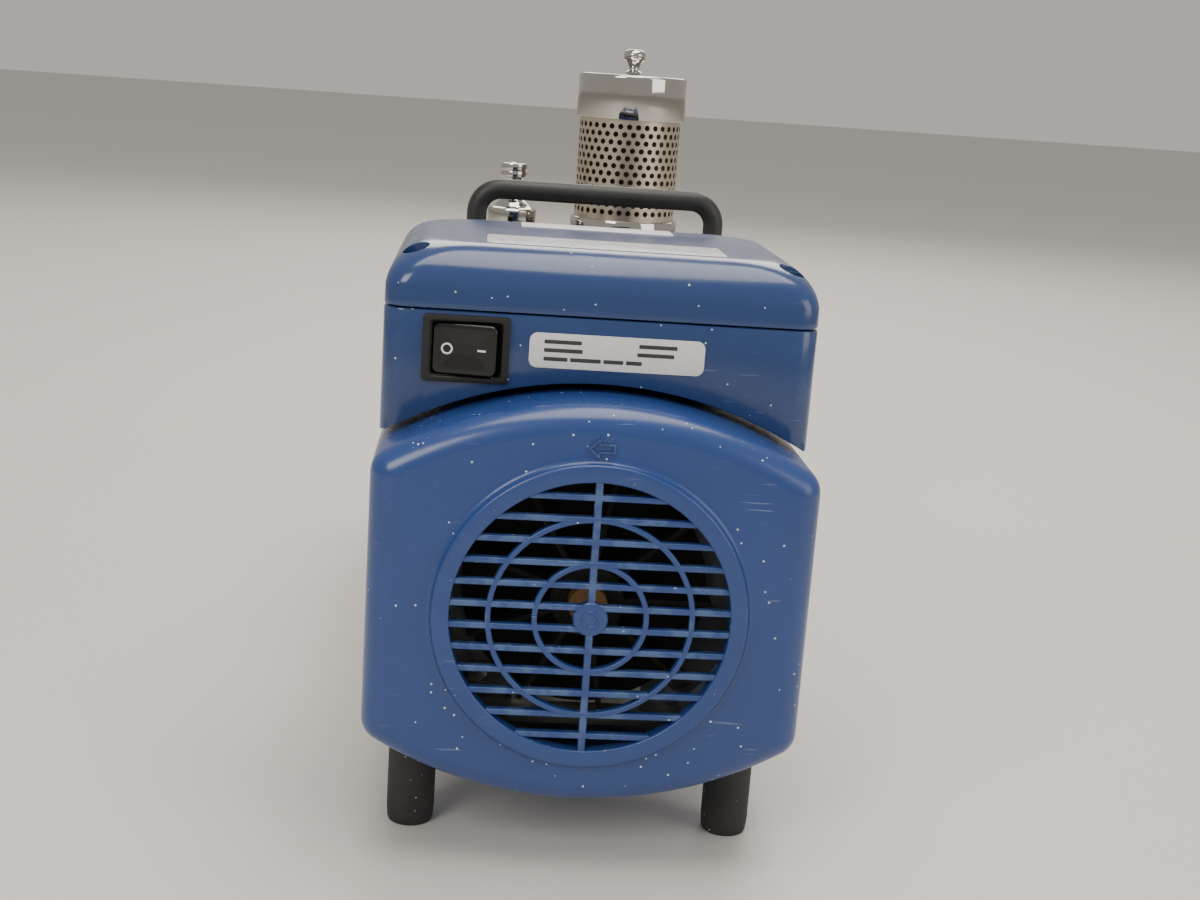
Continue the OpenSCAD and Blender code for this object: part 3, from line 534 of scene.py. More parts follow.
def machined_iron():
    return finish("machined_iron", rgb(0.3, 0.31, 0.32), rgb(0.22, 0.22, 0.23), 0.36, metallic=0.9,
                  tone=(60.0, 0.6), grain=(1200.0, 0.12))


def zinc_plate():
    return finish("zinc_plate", rgb(0.42, 0.42, 0.4), rgb(0.3, 0.29, 0.26), 0.36, metallic=0.9,
                  tone=(90.0, 0.7), grain=(900.0, 0.1))


def black_oxide():
    return finish("black_oxide", rgb(0.05, 0.05, 0.052), rgb(0.09, 0.085, 0.08), 0.4, metallic=0.7,
                  tone=(120.0, 0.6), wear=(0.6, rgb(0.3, 0.3, 0.3)), grain=(900.0, 0.1))


def rusty_shaft():
    return finish("rusty_shaft", rgb(0.3, 0.17, 0.07), rgb(0.16, 0.07, 0.025), 0.62, metallic=0.35,
                  tone=(120.0, 0.8), grain=(700.0, 0.5))


def dusty_fan():
    return finish("dusty_fan", rgb(0.004, 0.004, 0.004), rgb(0.01, 0.009, 0.008), 0.85, tone=(60.0, 0.7),
                  dust=(500.0, 0.06, 0.15), grain=(900.0, 0.2))


def laminated_steel():
    return finish("laminated_steel", rgb(0.3, 0.31, 0.33), rgb(0.24, 0.25, 0.27), 0.42, metallic=0.8,
                  pattern=stripes(0.7, 0.25, rgb(0.1, 0.1, 0.11)))


def copper_wire():
    return finish("copper_wire", rgb(0.5, 0.2, 0.07), rgb(0.4, 0.15, 0.05), 0.32, metallic=0.8,
                  pattern=stripes(0.9, 0.3, rgb(0.16, 0.06, 0.02)), coat=0.3)


def ground_steel():
    return finish("ground_steel", rgb(0.58, 0.59, 0.6), rgb(0.48, 0.49, 0.5), 0.22, metallic=1.0,
                  tone=(80.0, 0.5), grain=(1500.0, 0.05))


def red_elastomer():
    return finish("red_elastomer", rgb(0.42, 0.035, 0.02), rgb(0.3, 0.025, 0.015), 0.55, grain=(900.0, 0.2))


def dark_rubber():
    return finish("dark_rubber", rgb(0.02, 0.018, 0.017), rgb(0.035, 0.03, 0.028), 0.7, grain=(900.0, 0.2))


def vane_composite():
    return finish("vane_composite", rgb(0.045, 0.038, 0.032), rgb(0.07, 0.06, 0.05), 0.5, tone=(200.0, 0.7),
                  grain=(1600.0, 0.2))


def turned_brass():
    return finish("turned_brass", rgb(0.6, 0.42, 0.16), rgb(0.45, 0.3, 0.12), 0.3, metallic=1.0,
                  tone=(60.0, 0.6), wear=(0.4, rgb(0.75, 0.58, 0.3)), grain=(1100.0, 0.1))


def drawn_can():
    return finish("drawn_can", rgb(0.62, 0.63, 0.64), rgb(0.54, 0.55, 0.56), 0.3, metallic=0.95,
                  tone=(50.0, 0.5), grain=(1000.0, 0.08))


def cream_plastic():
    return finish("cream_plastic", rgb(0.7, 0.66, 0.54), rgb(0.62, 0.58, 0.47), 0.4, grain=(1200.0, 0.08))


def sight_glass():
    material = bpy.data.materials.new("sight_glass")
    material.use_nodes = True
    tree = material.node_tree
    shader = tree.nodes["Principled BSDF"]
    uneven = place(tree, "tone", Colour=rgb(0.86, 0.93, 0.88), Second=rgb(0.8, 0.88, 0.82), Scale=40.0)
    tree.links.new(uneven.outputs["Colour"], shader.inputs["Base Color"])
    shader.inputs["Roughness"].default_value = 0.04
    shader.inputs["Metallic"].default_value = 0.0
    shader.inputs["Transmission Weight"].default_value = 0.9
    shader.inputs["IOR"].default_value = 1.47
    return material


# ---- the fan cowl ----

COWL = Span("fan_cowl")
RING_PROUD = 3.0
COWL_FACE = COWL.y0 + RING_PROUD
COWL_WALL = 3.0
COWL_ROUND = 10.0
TOP_ARC = 157.0
BOTTOM_ARC = 152.0
COWL_TOP = COWL.z1 - AXIS_Z
COWL_BOTTOM = 76.0
RING_R = 59.0
MOUTH_R = 52.0
BAR_PITCH = 8.4
COWL_SCREW_Y = -131.0
COWL_SCREW_Z = 30.0             # above and below the shaft
COWL_SCREW_R = 4.1
ARROW_Z = AXIS_Z + 64.4


LEAN_STEPS = 12                 # around the shoulder of the cowl
CROWN_STEPS = 26                # from the shoulder to the crown


def cowl_quarter(arc, height):
    """(x, z, normal x, normal z) from the middle of the right side up to the crown."""
    half = COWL.w / 2
    centre = height - arc
    cx = half - COWL_ROUND
    cz = centre + math.sqrt((arc - COWL_ROUND) ** 2 - cx ** 2)
    lean = math.atan2(cz - centre, cx)
    points = [(half, cz * k / 8, 1.0, 0.0) for k in range(1, 8)]
    for k in range(LEAN_STEPS + 1):
        a = lean * k / LEAN_STEPS
        nx, nz = math.cos(a), math.sin(a)
        points.append((cx + COWL_ROUND * nx, cz + COWL_ROUND * nz, nx, nz))
    for k in range(1, CROWN_STEPS + 1):
        a = lean + (math.pi / 2 - lean) * k / CROWN_STEPS
        points.append((arc * math.cos(a), centre + arc * math.sin(a), math.cos(a), math.sin(a)))
    return points


def cowl_rim():
    up = cowl_quarter(TOP_ARC, COWL_TOP)
    down = cowl_quarter(BOTTOM_ARC, COWL_BOTTOM)
    right_up = [(COWL.w / 2, 0.0, 1.0, 0.0)] + up
    left_up = [(-x, z, -nx, nz) for x, z, nx, nz in reversed(up[:-1])]
    left_down = [(-COWL.w / 2, 0.0, -1.0, 0.0)] + [(-x, -z, -nx, -nz) for x, z, nx, nz in down]
    right_down = [(x, -z, nx, -nz) for x, z, nx, nz in reversed(down[:-1])]
    return right_up + left_up + left_down + right_down


def cowl_shell():
    rim = cowl_rim()

    def outline(inset, y):
        return [(x - nx * inset, y, z - nz * inset + AXIS_Z) for x, z, nx, nz in rim]

    def ring(r, y):
        angles = [math.atan2(z, x) for x, z, _, _ in rim]
        return [(r * math.cos(a), y, r * math.sin(a) + AXIS_Z) for a in angles]

    y0, y1 = COWL_FACE, COWL.y1
    loops = [outline(COWL_WALL, y1), outline(0.7, y1), outline(0.15, y1 - 0.25), outline(0, y1 - 0.9)]
    loops += [outline(inset, y0 + drop) for inset, drop in edge_rows(COWL_ROUND, 9)]
    loops += [ring(RING_R + 2.2, y0), ring(RING_R + 0.9, y0 - 0.25), ring(RING_R + 0.1, y0 - 1.0)]
    loops += [ring(RING_R - 0.25 - inset, COWL.y0 + drop) for inset, drop in edge_rows(1.3)]
    loops += [ring(MOUTH_R + inset, COWL.y0 + drop) for inset, drop in reversed(edge_rows(0.8))]
    loops += [ring(MOUTH_R, y0 + COWL_WALL), ring(RING_R + 2, y0 + COWL_WALL)]
    inner = COWL_ROUND - COWL_WALL
    loops += [outline(COWL_WALL + inset, y0 + COWL_WALL + drop)
              for inset, drop in reversed(edge_rows(inner, 6))]
    return loft(loops, round_trip=True)


def grille_bars():
    """Twelve level bars, one upright and two rings, all a little behind the raised ring's face."""
    thick, deep, front = 2.3, 3.6, COWL.y0 + 0.8
    end_r = MOUTH_R + 0.6
    bars = []
    for k in range(12):
        z = (5.5 - k) * BAR_PITCH
        reach = math.sqrt(end_r ** 2 - z ** 2)
        section = rounded_loop(deep, thick, 0.6, 3)
        ends = [[(x, front + deep / 2 + u, AXIS_Z + z + v) for u, v in section] for x in (-reach, reach)]
        bars.append(loft(ends))
    section = rounded_loop(2.8, deep, 0.6, 3)
    upright = [[(u, front - 0.05 + deep / 2 + v, AXIS_Z + z) for u, v in section] for z in (-end_r, end_r)]
    bars.append(loft(upright))
    for r in (20.7, 37.8):
        band = [(r + u, front - 0.1 + deep / 2 + v) for u, v in rounded_loop(2.1, deep, 0.55, 3)]
        bars.append(moved(lathe_y(band, 128, round_trip=True), z=AXIS_Z))
    return join(*bars)


def grille_hub():
    """The boss where the bars meet, with a raised ring on it."""
    face = COWL.y0 + 0.35
    boss = [(0, face + 4), (6.1, face + 4), (6.5, face + 3.4), (6.5, face + 0.6), (6.1, face + 0.1),
            (5.6, face), (3.6, face), (3.4, face - 0.3), (2.6, face - 0.3), (2.4, face), (0, face)]
    return moved(lathe_y(boss, 64), z=AXIS_Z)


def turning_arrow():
    """A raised outline that shows which way the fan turns."""
    shape = [(-5, 0), (-0.6, 4), (-0.6, 1.8), (5, 1.8), (5, -1.8), (-0.6, -1.8), (-0.6, -4)]
    inner = [(-3.7, 0), (-1.3, 2.2), (-1.3, 1.1), (4.3, 1.1), (4.3, -1.1), (-1.3, -1.1), (-1.3, -2.2)]
    proud = 0.8
    rows = [(shape, COWL_FACE + 0.5), (shape, COWL_FACE - proud), (inner, COWL_FACE - proud),
            (inner, COWL_FACE + 0.5)]
    return loft([[(u, y, ARROW_Z + v) for u, v in loop] for loop, y in rows], round_trip=True)


def cowl_screw_holes():
    holes = []
    for side in (-1, 1):
        for z in (AXIS_Z - COWL_SCREW_Z, AXIS_Z + COWL_SCREW_Z):
            x = side * COWL.w / 2
            loops = [[(x + dx, COWL_SCREW_Y + COWL_SCREW_R * math.cos(a), z + COWL_SCREW_R * math.sin(a))
                      for a in turns(32)] for dx in (-1.4, 1.4)]
            holes.append(loft(loops))
    return join(*holes)


def cowl_foot_seats():
    """The two bosses under the cowl that the front feet stand against."""
    foot = Span("rubber_feet")
    seat = [(0, foot.z1 + 0.02), (10.9, foot.z1 + 0.02), (11.7, foot.z1 + 0.3), (12, foot.z1 + 1.1),
            (12, foot.z1 + 11), (0, foot.z1 + 11)]
    return at_feet(lathe(seat, 48), rear=False)


def fan_cowl(blue):
    """The cowl with its grille, arrow and foot seats."""
    cowl = make("cowl_shell", cowl_shell(), blue, stands_for=("fan_cowl",), crease=40)
    carve(cowl, cowl_screw_holes())
    make("cowl_grille", grille_bars(), blue)
    make("cowl_hub", grille_hub(), blue)
    make("cowl_arrow", turning_arrow(), blue, crease=20)
    make("cowl_foot_seats", cowl_foot_seats(), blue)


# ---- the electrical box and its cover ----

BOX = Span("terminal_box")
COVER = Span("box_cover")
BOX_WALL = 3.0
BOX_ARC = 156.0
ARC_CROWN = AXIS_Z + 81.8
BOX_CORNER = 9.0
COVER_ROUND = 18.0
POST_R = 7.0
POST_X = 71.5
POST_Y = BOX.l / 2 - 15.5
POCKET_Z = AXIS_Z + 112


def underside(x):
    """Height of the curved underside of the box above the point x."""
    return ARC_CROWN - BOX_ARC + math.sqrt(BOX_ARC ** 2 - x ** 2)


PLAN_ARC_STEPS = 8
PLAN_SIDE_STEPS = 24


def plan(inset, corner):
    """The box's outline seen from above, with extra points along its sides."""
    w, l = BOX.w - 2 * inset, BOX.l - 2 * inset
    loop = rounded_loop(w, l, min(corner, l / 2 - 1), PLAN_ARC_STEPS)
    points = []
    for k, (u, v) in enumerate(loop):
        points.append((BOX.x + u, BOX.y + v))
        if k % (PLAN_ARC_STEPS + 1) == PLAN_ARC_STEPS:
            nu, nv = loop[(k + 1) % len(loop)]
            for t in range(1, PLAN_SIDE_STEPS):
                points.append((BOX.x + u + (nu - u) * t / PLAN_SIDE_STEPS,
                               BOX.y + v + (nv - v) * t / PLAN_SIDE_STEPS))
    return points


def box_shell():
    """The walls of the box, from the curved underside to the seam."""
    def low(inset, lift):
        return [(x, y, underside(x) + lift) for x, y in plan(inset, BOX_CORNER - inset)]

    def high(inset, drop):
        return [(x, y, BOX.z1 - drop) for x, y in plan(inset, BOX_CORNER - inset)]

    loops = [low(BOX_WALL, 0), low(0.8, 0), low(0.2, 0.2), low(0, 0.8)]
    loops += [high(0, 0.9), high(0.25, 0.25), high(0.9, 0), high(BOX_WALL, 0)]
    return loft(loops, round_trip=True)


def box_floor():
    """The curved plate that closes the box from below."""
    edge, steps = 2.0, 56
    loops = []
    for k in range(steps + 1):
        x = BOX.x0 + edge + (BOX.w - 2 * edge) * k / steps
        z = underside(x)
        y0, y1 = BOX.y0 + edge, BOX.y1 - edge
        loops.append([(x, y0, z), (x, y1, z), (x, y1, z + BOX_WALL), (x, y0, z + BOX_WALL)])
    return loft(loops)


def cover_shell():
    foot, top = COVER.z0, COVER.z1

    def row(inset, z):
        return [(x, y, z) for x, y in plan(inset, BOX_CORNER + 0.7 * inset)]

    inner = COVER_ROUND - BOX_WALL
    loops = [row(inset, top - BOX_WALL) for inset in (50, 38, 26)]
    loops += [row(BOX_WALL + inset, top - BOX_WALL - drop)
              for inset, drop in reversed(edge_rows(inner, 8))]
    loops += [row(BOX_WALL, foot), row(0.6, foot), row(0.12, foot + 0.18), row(0, foot + 0.7),
              row(0.05, foot + 1.9)]
    loops += [row(inset, top - drop) for inset, drop in edge_rows(COVER_ROUND, 12)[1:]]
    loops += [row(inset, top) for inset in (26, 38, 50)]
    return loft(loops)


def at_posts(form):
    """Repeats a form at the four screw posts."""
    corners = [(sx, sy) for sx in (-1, 1) for sy in (-1, 1)]
    return join(*[moved(form, BOX.x + sx * POST_X, BOX.y + sy * POST_Y) for sx, sy in corners])


def electrical_box(blue):
    body = make("box_shell", box_shell(), blue, stands_for=("terminal_box",), crease=40)
    at_switch, at_inlet = Span("switch_housing"), Span("mains_inlet")
    switch_hole = pill(27.9, 21.5, 12, 0.6, 0.05, "XZ")
    carve(body, moved(switch_hole, at_switch.x, BOX.y0, at_switch.z))
    inlet_hole = pill(27.3, 20.3, 12, 1.5, 0.05, "YZ")
    carve(body, moved(inlet_hole, BOX.x1, at_inlet.y, at_inlet.z))
    make("box_floor", box_floor(), blue)
    cover = make("cover_shell", cover_shell(), blue, stands_for=("box_cover",), crease=40)
    carve(cover, at_posts(lathe([(POST_R, COVER.z0 + 1), (POST_R, COVER.z0 + 14)], 40)), "UNION")
    pocket = [(4.6, POCKET_Z), (4.6, POCKET_Z + 6), (5.3, COVER.z1 + 2)]
    carve(cover, at_posts(lathe(pocket, 40)))


def label_lines():
    """Plain dark bars in the place of the print."""
    label = Span("rating_label")
    rows = [(-27.5, -13.5, 3.4), (8, 22.5, 3.4), (-27.5, -13, 0.2), (7.5, 21.5, 0.2),
            (-27.5, -18.5, -3.1), (-17.5, -6, -3.1), (-5, 2.5, -3.1), (3.5, 9.5, -3.1)]
    bars = [moved(pill(right - left, 1.5, 0.06, 0.3, 0.01, "XZ", 2), label.x + (left + right) / 2,
                  label.y0 - 0.03, label.z + up) for left, right, up in rows]
    return join(*bars)


def labels(film, ink, printed):
    plate = Span("rating_label")
    make("rating_plate", moved(pill(plate.w, plate.h, plate.l, 3, 0.08, "XZ"), plate.x, plate.y, plate.z),
         film, stands_for=("rating_label",))
    make("rating_lines", label_lines(), ink)
    both = Span("cover_labels")
    notice = moved(pill(92, 30, both.h, 2, 0.08), both.x, both.y0 + 15, both.z)
    strip = moved(pill(64.7, 18, both.h, 1, 0.08), both.x + 0.6, both.y1 - 9, both.z)
    make("cover_notice", notice, printed, stands_for=("cover_labels",))
    make("cover_strip", strip, film)


# ---- the switch ----

def switch_frame():
    """The frame with the well that the rocker sits in, and the switch's body behind it."""
    at = Span("switch_housing")
    face = at.y0
    rows = [(25.6, 19.8, 0.8, face + 11), (25.6, 19.8, 0.8, face + 1.3), (26.2, 20.4, 1.0, face + 1.1),
            (26.6, 20.8, 1.2, face + 0.25), (27.2, 21.4, 1.4, face), (31.4, 24.3, 1.2, face),
            (31.9, 24.8, 1.4, face + 0.12), (32.2, 25.1, 1.5, face + 0.5), (32.2, 25.1, 1.5, BOX.y0),
            (27.5, 21.1, 0.5, BOX.y0), (27.5, 21.1, 0.5, face + 24)]
    return loft([[(at.x + u, y, at.z + v) for u, v in rounded_loop(w, h, r, 5)] for w, h, r, y in rows])


def rocker_front(x):
    """How far the rocker's dished face stands in front of its hinge line."""
    return -2.5 - 1.1 * (abs(x) / 12) ** 1.6


def rocker_tilt():
    hinge = joint_place("switch_rock")
    turn = Matrix.Rotation(math.radians(-9), 3, "Z")
    return lambda form: moved(turned(form, turn), hinge.x, hinge.y, hinge.z)


def rocker_body():
    w, h, r = 24.0, 19.2, 2.6
    rows = [(1.5, 2.2), (0.2, 1.6), (0, 0.6)]
    loops = [[(u, y, v) for u, v in rounded_loop(w - 2 * d, h - 2 * d, max(r - d, 0.5))] for d, y in rows]
    for d, lift in [(0, 1.0), (0.12, 0.5), (0.45, 0.14)] + [(d, 0) for d in range(1, 9)]:
        flat = rounded_loop(w - 2 * d, h - 2 * d, max(r - d, 0.4))
        loops.append([(u, rocker_front(u) + lift, v) for u, v in flat])
    return loft(loops)


def rocker_marks():
    """The ring for off and the dash for on."""
    def on_face(x, z, lift):
        return (x, rocker_front(x) + 0.02 - lift, z)

    ring = [[on_face(-6.6 + r * math.cos(a), r * math.sin(a), lift) for a in turns(40)]
            for r, lift in [(1.5, 0), (1.5, 0.13), (2.15, 0.13), (2.15, 0)]]
    outline = [(4.8, -0.35), (6.4, -0.35), (8.0, -0.35), (8.0, 0.35), (6.4, 0.35), (4.8, 0.35)]
    dash = [[on_face(x, z, lift) for x, z in outline] for lift in (0, 0.13)]
    return join(loft(ring, round_trip=True), loft(dash))


def switch(black, gloss, white):
    make("switch_frame", switch_frame(), black, stands_for=("switch_housing",))
    lean = rocker_tilt()
    make("rocker", lean(rocker_body()), gloss, "rocker", stands_for=("switch_rocker",))
    make("rocker_marks", lean(rocker_marks()), white, "rocker")


# ---- handle, filter, inlet and feet ----

FOOT_R = 9.5
REAR_FOOT_X = 58.0

def carry_handle(coating):
    bar = Span("carry_handle")
    r = bar.l / 2
    bend = 11.3
    x0, x1, top = bar.x0 + r, bar.x1 - r, bar.z1 - r
    path = [(x0, bar.y, bar.z0 + t) for t in (0, 6, 20)]
    path += [(x0 + bend * (1 - math.cos(a)), bar.y, top - bend * (1 - math.sin(a)))
             for a in [math.pi / 2 * k / 12 for k in range(13)]]
    path += [(x1 - (p[0] - x0), p[1], p[2]) for p in reversed(path)]
    make("handle_bar", tube(path, r), coating, stands_for=("carry_handle",), crease=60)


def filter_parts(chrome):
    cap, base, knob = Span("filter_cap"), Span("filter_base"), Span("filter_knob")
    r = cap.w / 2
    rod_r = 2.8
    top = [(r - inset, cap.z1 - drop) for inset, drop in edge_rows(1.8, 5)]
    skirt = [(28.9, cap.z0), (r - 0.5, cap.z0), (r - 0.12, cap.z0 + 0.15), (r, cap.z0 + 0.6)]
    lid = [(r - 4.5, cap.z1), (r - 5.5, cap.z1 - 0.35), (8, cap.z1 - 0.35), (rod_r, cap.z1 - 0.35)]
    inside = [(rod_r, cap.z1 - 3), (28.9, cap.z1 - 3)]
    make("filter_lid", moved(lathe(skirt + top + lid + inside, 128, round_trip=True), cap.x, cap.y), chrome,
         stands_for=("filter_cap",))
    low, high = base.z0 + 11, cap.z0 - 56
    ring = [(17, low), (r - 1, low), (r - 0.25, low + 0.25), (r, low + 1), (r, high - 0.9),
            (r - 0.3, high - 0.3), (r - 0.9, high), (28.9, high), (28.9, high - 1.9), (17, high - 1.9)]
    spigot = [(14, base.z0), (16.9, base.z0), (16.9, low + 0.5), (14, low + 0.5)]
    rod = [(0, high - 3), (2.5, high - 3), (2.5, base.z1 - 0.4), (2.1, base.z1), (0, base.z1)]
    form = join(lathe(ring, 128, round_trip=True), lathe(spigot, 64, round_trip=True), lathe(rod, 32))
    make("filter_foot", moved(form, cap.x, cap.y), chrome, stands_for=("filter_base",))
    tall = knob.h
    turned_knob = [(2.6, 0), (4.6, 0), (5, 0.3), (5, 1.1), (4.3, 1.7), (3.2, 2.3), (2.9, 3.1), (3.1, 4.4),
                   (3.9, 6.3), (5.2, 7.6), (6.1, 8.3), (6.4, 8.9), (6.3, 9.3), (6.0, 9.5), (6.3, 9.8),
                   (6.4, 10.3), (6.3, 11.2), (5.7, 12.3), (4.7, tall - 0.5), (3.2, tall - 0.1), (0, tall)]
    bore = [(0, 8.2), (2.6, 8.2)]
    make("filter_nut_knob", moved(lathe(turned_knob + bore, 64, round_trip=True), knob.x, knob.y, knob.z0),
         chrome, "filter_nut", stands_for=("filter_knob",), crease=40)


def inlet_fitting(chrome):
    port = Span("inlet_fitting")
    foot = port.z0 + 8
    collar = AXIS_Z + 117
    outer = [(6, port.z0), (6, foot), (13.4, foot), (13.8, foot + 0.2), (14, foot + 0.7), (14, collar - 2.2),
             (13.9, collar - 1.2), (13.2, collar - 0.3), (12, collar), (10.8, collar + 0.4),
             (9.6, collar + 1.8), (7.4, collar + 3.7), (6, collar + 4.6), (5.2, collar + 6),
             (5, collar + 7.5), (5, port.z1 - 8.6),
             (5.2, port.z1 - 8.1), (6.9, port.z1 - 8), (7.4, port.z1 - 7.7), (7.5, port.z1 - 7.2),
             (7.5, port.z1 - 4.8), (7.3, port.z1 - 4.4), (7.5, port.z1 - 4.0), (7.5, port.z1 - 0.9),
             (7.25, port.z1 - 0.25), (6.6, port.z1)]
    bore = [(4, port.z1), (3.5, port.z1 - 0.5), (3.5, port.z0)]
    make("inlet_spout", moved(lathe(outer + bore, 96, round_trip=True), port.x, port.y), chrome,
         stands_for=("inlet_fitting",))


def at_feet(form, front=True, rear=True):
    span = Span("rubber_feet")
    places = [(span.x1 - FOOT_R, span.y0 + FOOT_R)] * front + [(REAR_FOOT_X, span.y1 - FOOT_R)] * rear
    return join(*[moved(form, side * x, y) for x, y in places for side in (-1, 1)])


def feet(rubber):
    r, tall = FOOT_R, Span("rubber_feet").h
    outer = [(5.6, 0), (8.2, 0), (8.7, 0.25), (9.1, 1.2), (9.3, 3.2), (r, 6), (r, tall - 2.2),
             (9.3, tall - 0.8), (8.7, tall - 0.15), (8, tall)]
    inner = [(3, tall), (3, 6.2), (5.6, 6.2)]
    foot = lathe(outer + inner, 64, round_trip=True)
    make("feet", at_feet(foot), rubber, stands_for=("rubber_feet",))


# ---- pump end ----

CASE = Span("oil_case")
FLANGE = Span("pump_flange")
CASE_BOTTOM = FLANGE.z0
CASE_TOP = FLANGE.z1
CASE_CORNER = 14.0
FINS = 7
FIN_PITCH = 18.0
FIN_LINE = ((66, 0.2), (67, 2.6), (69, 4.9), (169, 4.9), (171, 2.6), (172, 0.2))    # height, lift
FILL_PLUG_Y = 203.0


def case_row(inset, y):
    """The case's outline, pulled in by inset, at one place along the pump."""
    w, h = FLANGE.w - 2 * inset, CASE_TOP - CASE_BOTTOM - 2 * inset
    loop = rounded_loop(w, h, max(CASE_CORNER - inset, 3))
    return [(FLANGE.x + u, y, (CASE_TOP + CASE_BOTTOM) / 2 + v) for u, v in loop]


def case_shell():
    y0, y1 = CASE.y0, CASE.y1
    loops = [case_row(0.8, y0), case_row(0.2, y0 + 0.2), case_row(0, y0 + 0.8)]
    loops += [case_row(inset, y1 - drop) for inset, drop in edge_rows(4.5, 6)]
    loops += [case_row(12, y1)]
    return loft(loops)


def case_fins():
    fins = []
    for k in range(FINS):
        y = CASE.y0 + 30 + FIN_PITCH * k
        for side in (-1, 1):
            loops = []
            for z, lift in FIN_LINE:
                x0, x1 = side * (FLANGE.w / 2 - 1), side * (FLANGE.w / 2 + lift)
                mid = x1 - side * min(lift, 1.2) * 0.5
                loops.append([(x0, y - 2.2, z), (mid, y - 1.7, z), (x1, y - 0.9, z), (x1, y + 0.9, z),
                              (mid, y + 1.7, z), (x0, y + 2.2, z)])
            fins.append(loft(loops))
    return join(*fins)


def case_boss(r, tall, bore, x, y):
    """A raised seat on top of the case, with a fillet round its foot."""
    z = CASE_TOP
    profile = [(bore, z - 1), (r + 1.8, z - 0.3), (r + 1.0, z + 0.15), (r + 0.3, z + 0.6), (r, z + 1.4),
               (r, z + tall - 0.7), (r - 0.2, z + tall - 0.2), (r - 0.7, z + tall), (bore, z + tall)]
    return moved(lathe(profile, 72, round_trip=True), x, y)


def oil_case(paint):
    ports = Span("inlet_fitting")
    filter_cap = Span("filter_cap")
    knob, plugs = Span("ballast_knob"), Span("oil_plugs")
    shell = make("case_shell", case_shell(), paint, stands_for=("oil_case",), crease=40)
    glass = Span("sight_glass")
    recess_r, recess_depth = 13, 12
    recess = lathe_y([(recess_r, 0), (recess_r, recess_depth + 8)], 48)
    recess = moved(recess, glass.x, CASE.y1 - recess_depth, glass.z)
    carve(shell, recess)
    make("case_fins", case_fins(), paint, crease=50)
    bosses = join(case_boss(24, 7, 17, filter_cap.x, filter_cap.y), case_boss(17, 4, 6.1, ports.x, ports.y),
                  case_boss(15, 3, 6, knob.x, knob.y), case_boss(15, 3, 10, plugs.x1 - 14, FILL_PLUG_Y))
    make("case_bosses", bosses, paint)
    foot = Span("rubber_feet")
    seat = [(0, foot.z1 + 0.02), (11, foot.z1 + 0.02), (11.8, foot.z1 + 0.4), (12, foot.z1 + 1.2),
            (12, CASE_BOTTOM - 0.8), (13, CASE_BOTTOM + 0.5), (0, CASE_BOTTOM + 0.5)]
    make("case_foot_seats", at_feet(lathe(seat, 48), front=False), paint)


# ---- the rest of the CAD nodes ----

def dress(node, material, round_edge):
    """Gives a CAD node its finish, and breaks its sharp edges."""
    piece = frame["nodes"][node]
    piece.data.materials.clear()
    piece.data.materials.append(material)
    shade(piece.data, 35)
    if round_edge:
        weld = piece.modifiers.new("weld", "WELD")
        weld.merge_threshold = WELD
        flat = piece.modifiers.new("flat", "DECIMATE")
        flat.decimate_type = "DISSOLVE"
        flat.angle_limit = math.radians(0.6)
        edge = piece.modifiers.new("edge", "BEVEL")
        edge.limit_method = "ANGLE"
        edge.angle_limit = math.radians(40)
        edge.width = round_edge * MM
        edge.segments = 2
        edge.harden_normals = True


def dress_nodes():
    zinc, iron, casting, paint = zinc_plate(), machined_iron(), bare_casting(), case_paint()
    steel, bolts, brass, plastic = ground_steel(), black_oxide(), turned_brass(), black_frame()
    rubber, laminated, vane = dark_rubber(), laminated_steel(), vane_composite()
    finishes = {
        "housing_screws": (zinc, 0.25), "tie_bolts": (zinc, 0.3), "foot_screws": (zinc, 0),
        "foot_bracket": (zinc, 0.5), "mains_inlet": (plastic, 0.25), "run_capacitor": (drawn_can(), 0.6),
        "terminal_block": (cream_plastic(), 0.4), "motor_frame": (casting, 0.4),
        "rear_shield": (casting, 0.5), "front_shield": (casting, 0.6), "stator_core": (laminated, 0),
        "stator_windings": (copper_wire(), 0), "rotor_core": (laminated, 0),
        "motor_shaft": (rusty_shaft(), 0.6), "motor_bearings": (steel, 0.5),
        "cooling_fan": (dusty_fan(), 0.3), "motor_hub": (iron, 0.5),
        "coupling_spider": (red_elastomer(), 0.4), "pump_hub": (iron, 0.5), "lantern": (paint, 1.2),
        "pump_flange": (paint, 0.8), "shaft_seal": (rubber, 0), "pump_rotor": (steel, 0.3),
        "lv_stator": (iron, 0.4), "middle_plate": (iron, 0.4), "hv_stator": (iron, 0.4),
        "end_plate": (iron, 0.4), "module_bolts": (bolts, 0.3), "hv_vane_a": (vane, 0.3),
        "hv_vane_b": (vane, 0.3), "lv_vane_a": (vane, 0.3), "lv_vane_b": (vane, 0.3),
        "vane_springs": (steel, 0), "valve_leaf": (steel, 0), "valve_stop": (steel, 0.3),
        "inlet_duct": (iron, 0.4), "inlet_valve": (brass, 0.3), "inlet_valve_spring": (steel, 0),
        "case_gasket": (rubber, 0), "case_bolts": (bolts, 0.35), "sight_glass": (sight_glass(), 0),
        "sight_ring": (drawn_can(), 0.6), "oil_plugs": (brass, 0.5), "ballast_knob": (plastic, 0.7),
        # filter_element: its dark brown colour is painted shade from inside the sleeve.
        "filter_sleeve": (perforated_steel(), 0), "filter_element": (painted_shade_fleece(), 0),
    }
    for node, (material, round_edge) in finishes.items():
        dress(node, material, round_edge)
    return paint, plastic


# ---- camera, floor and light ----

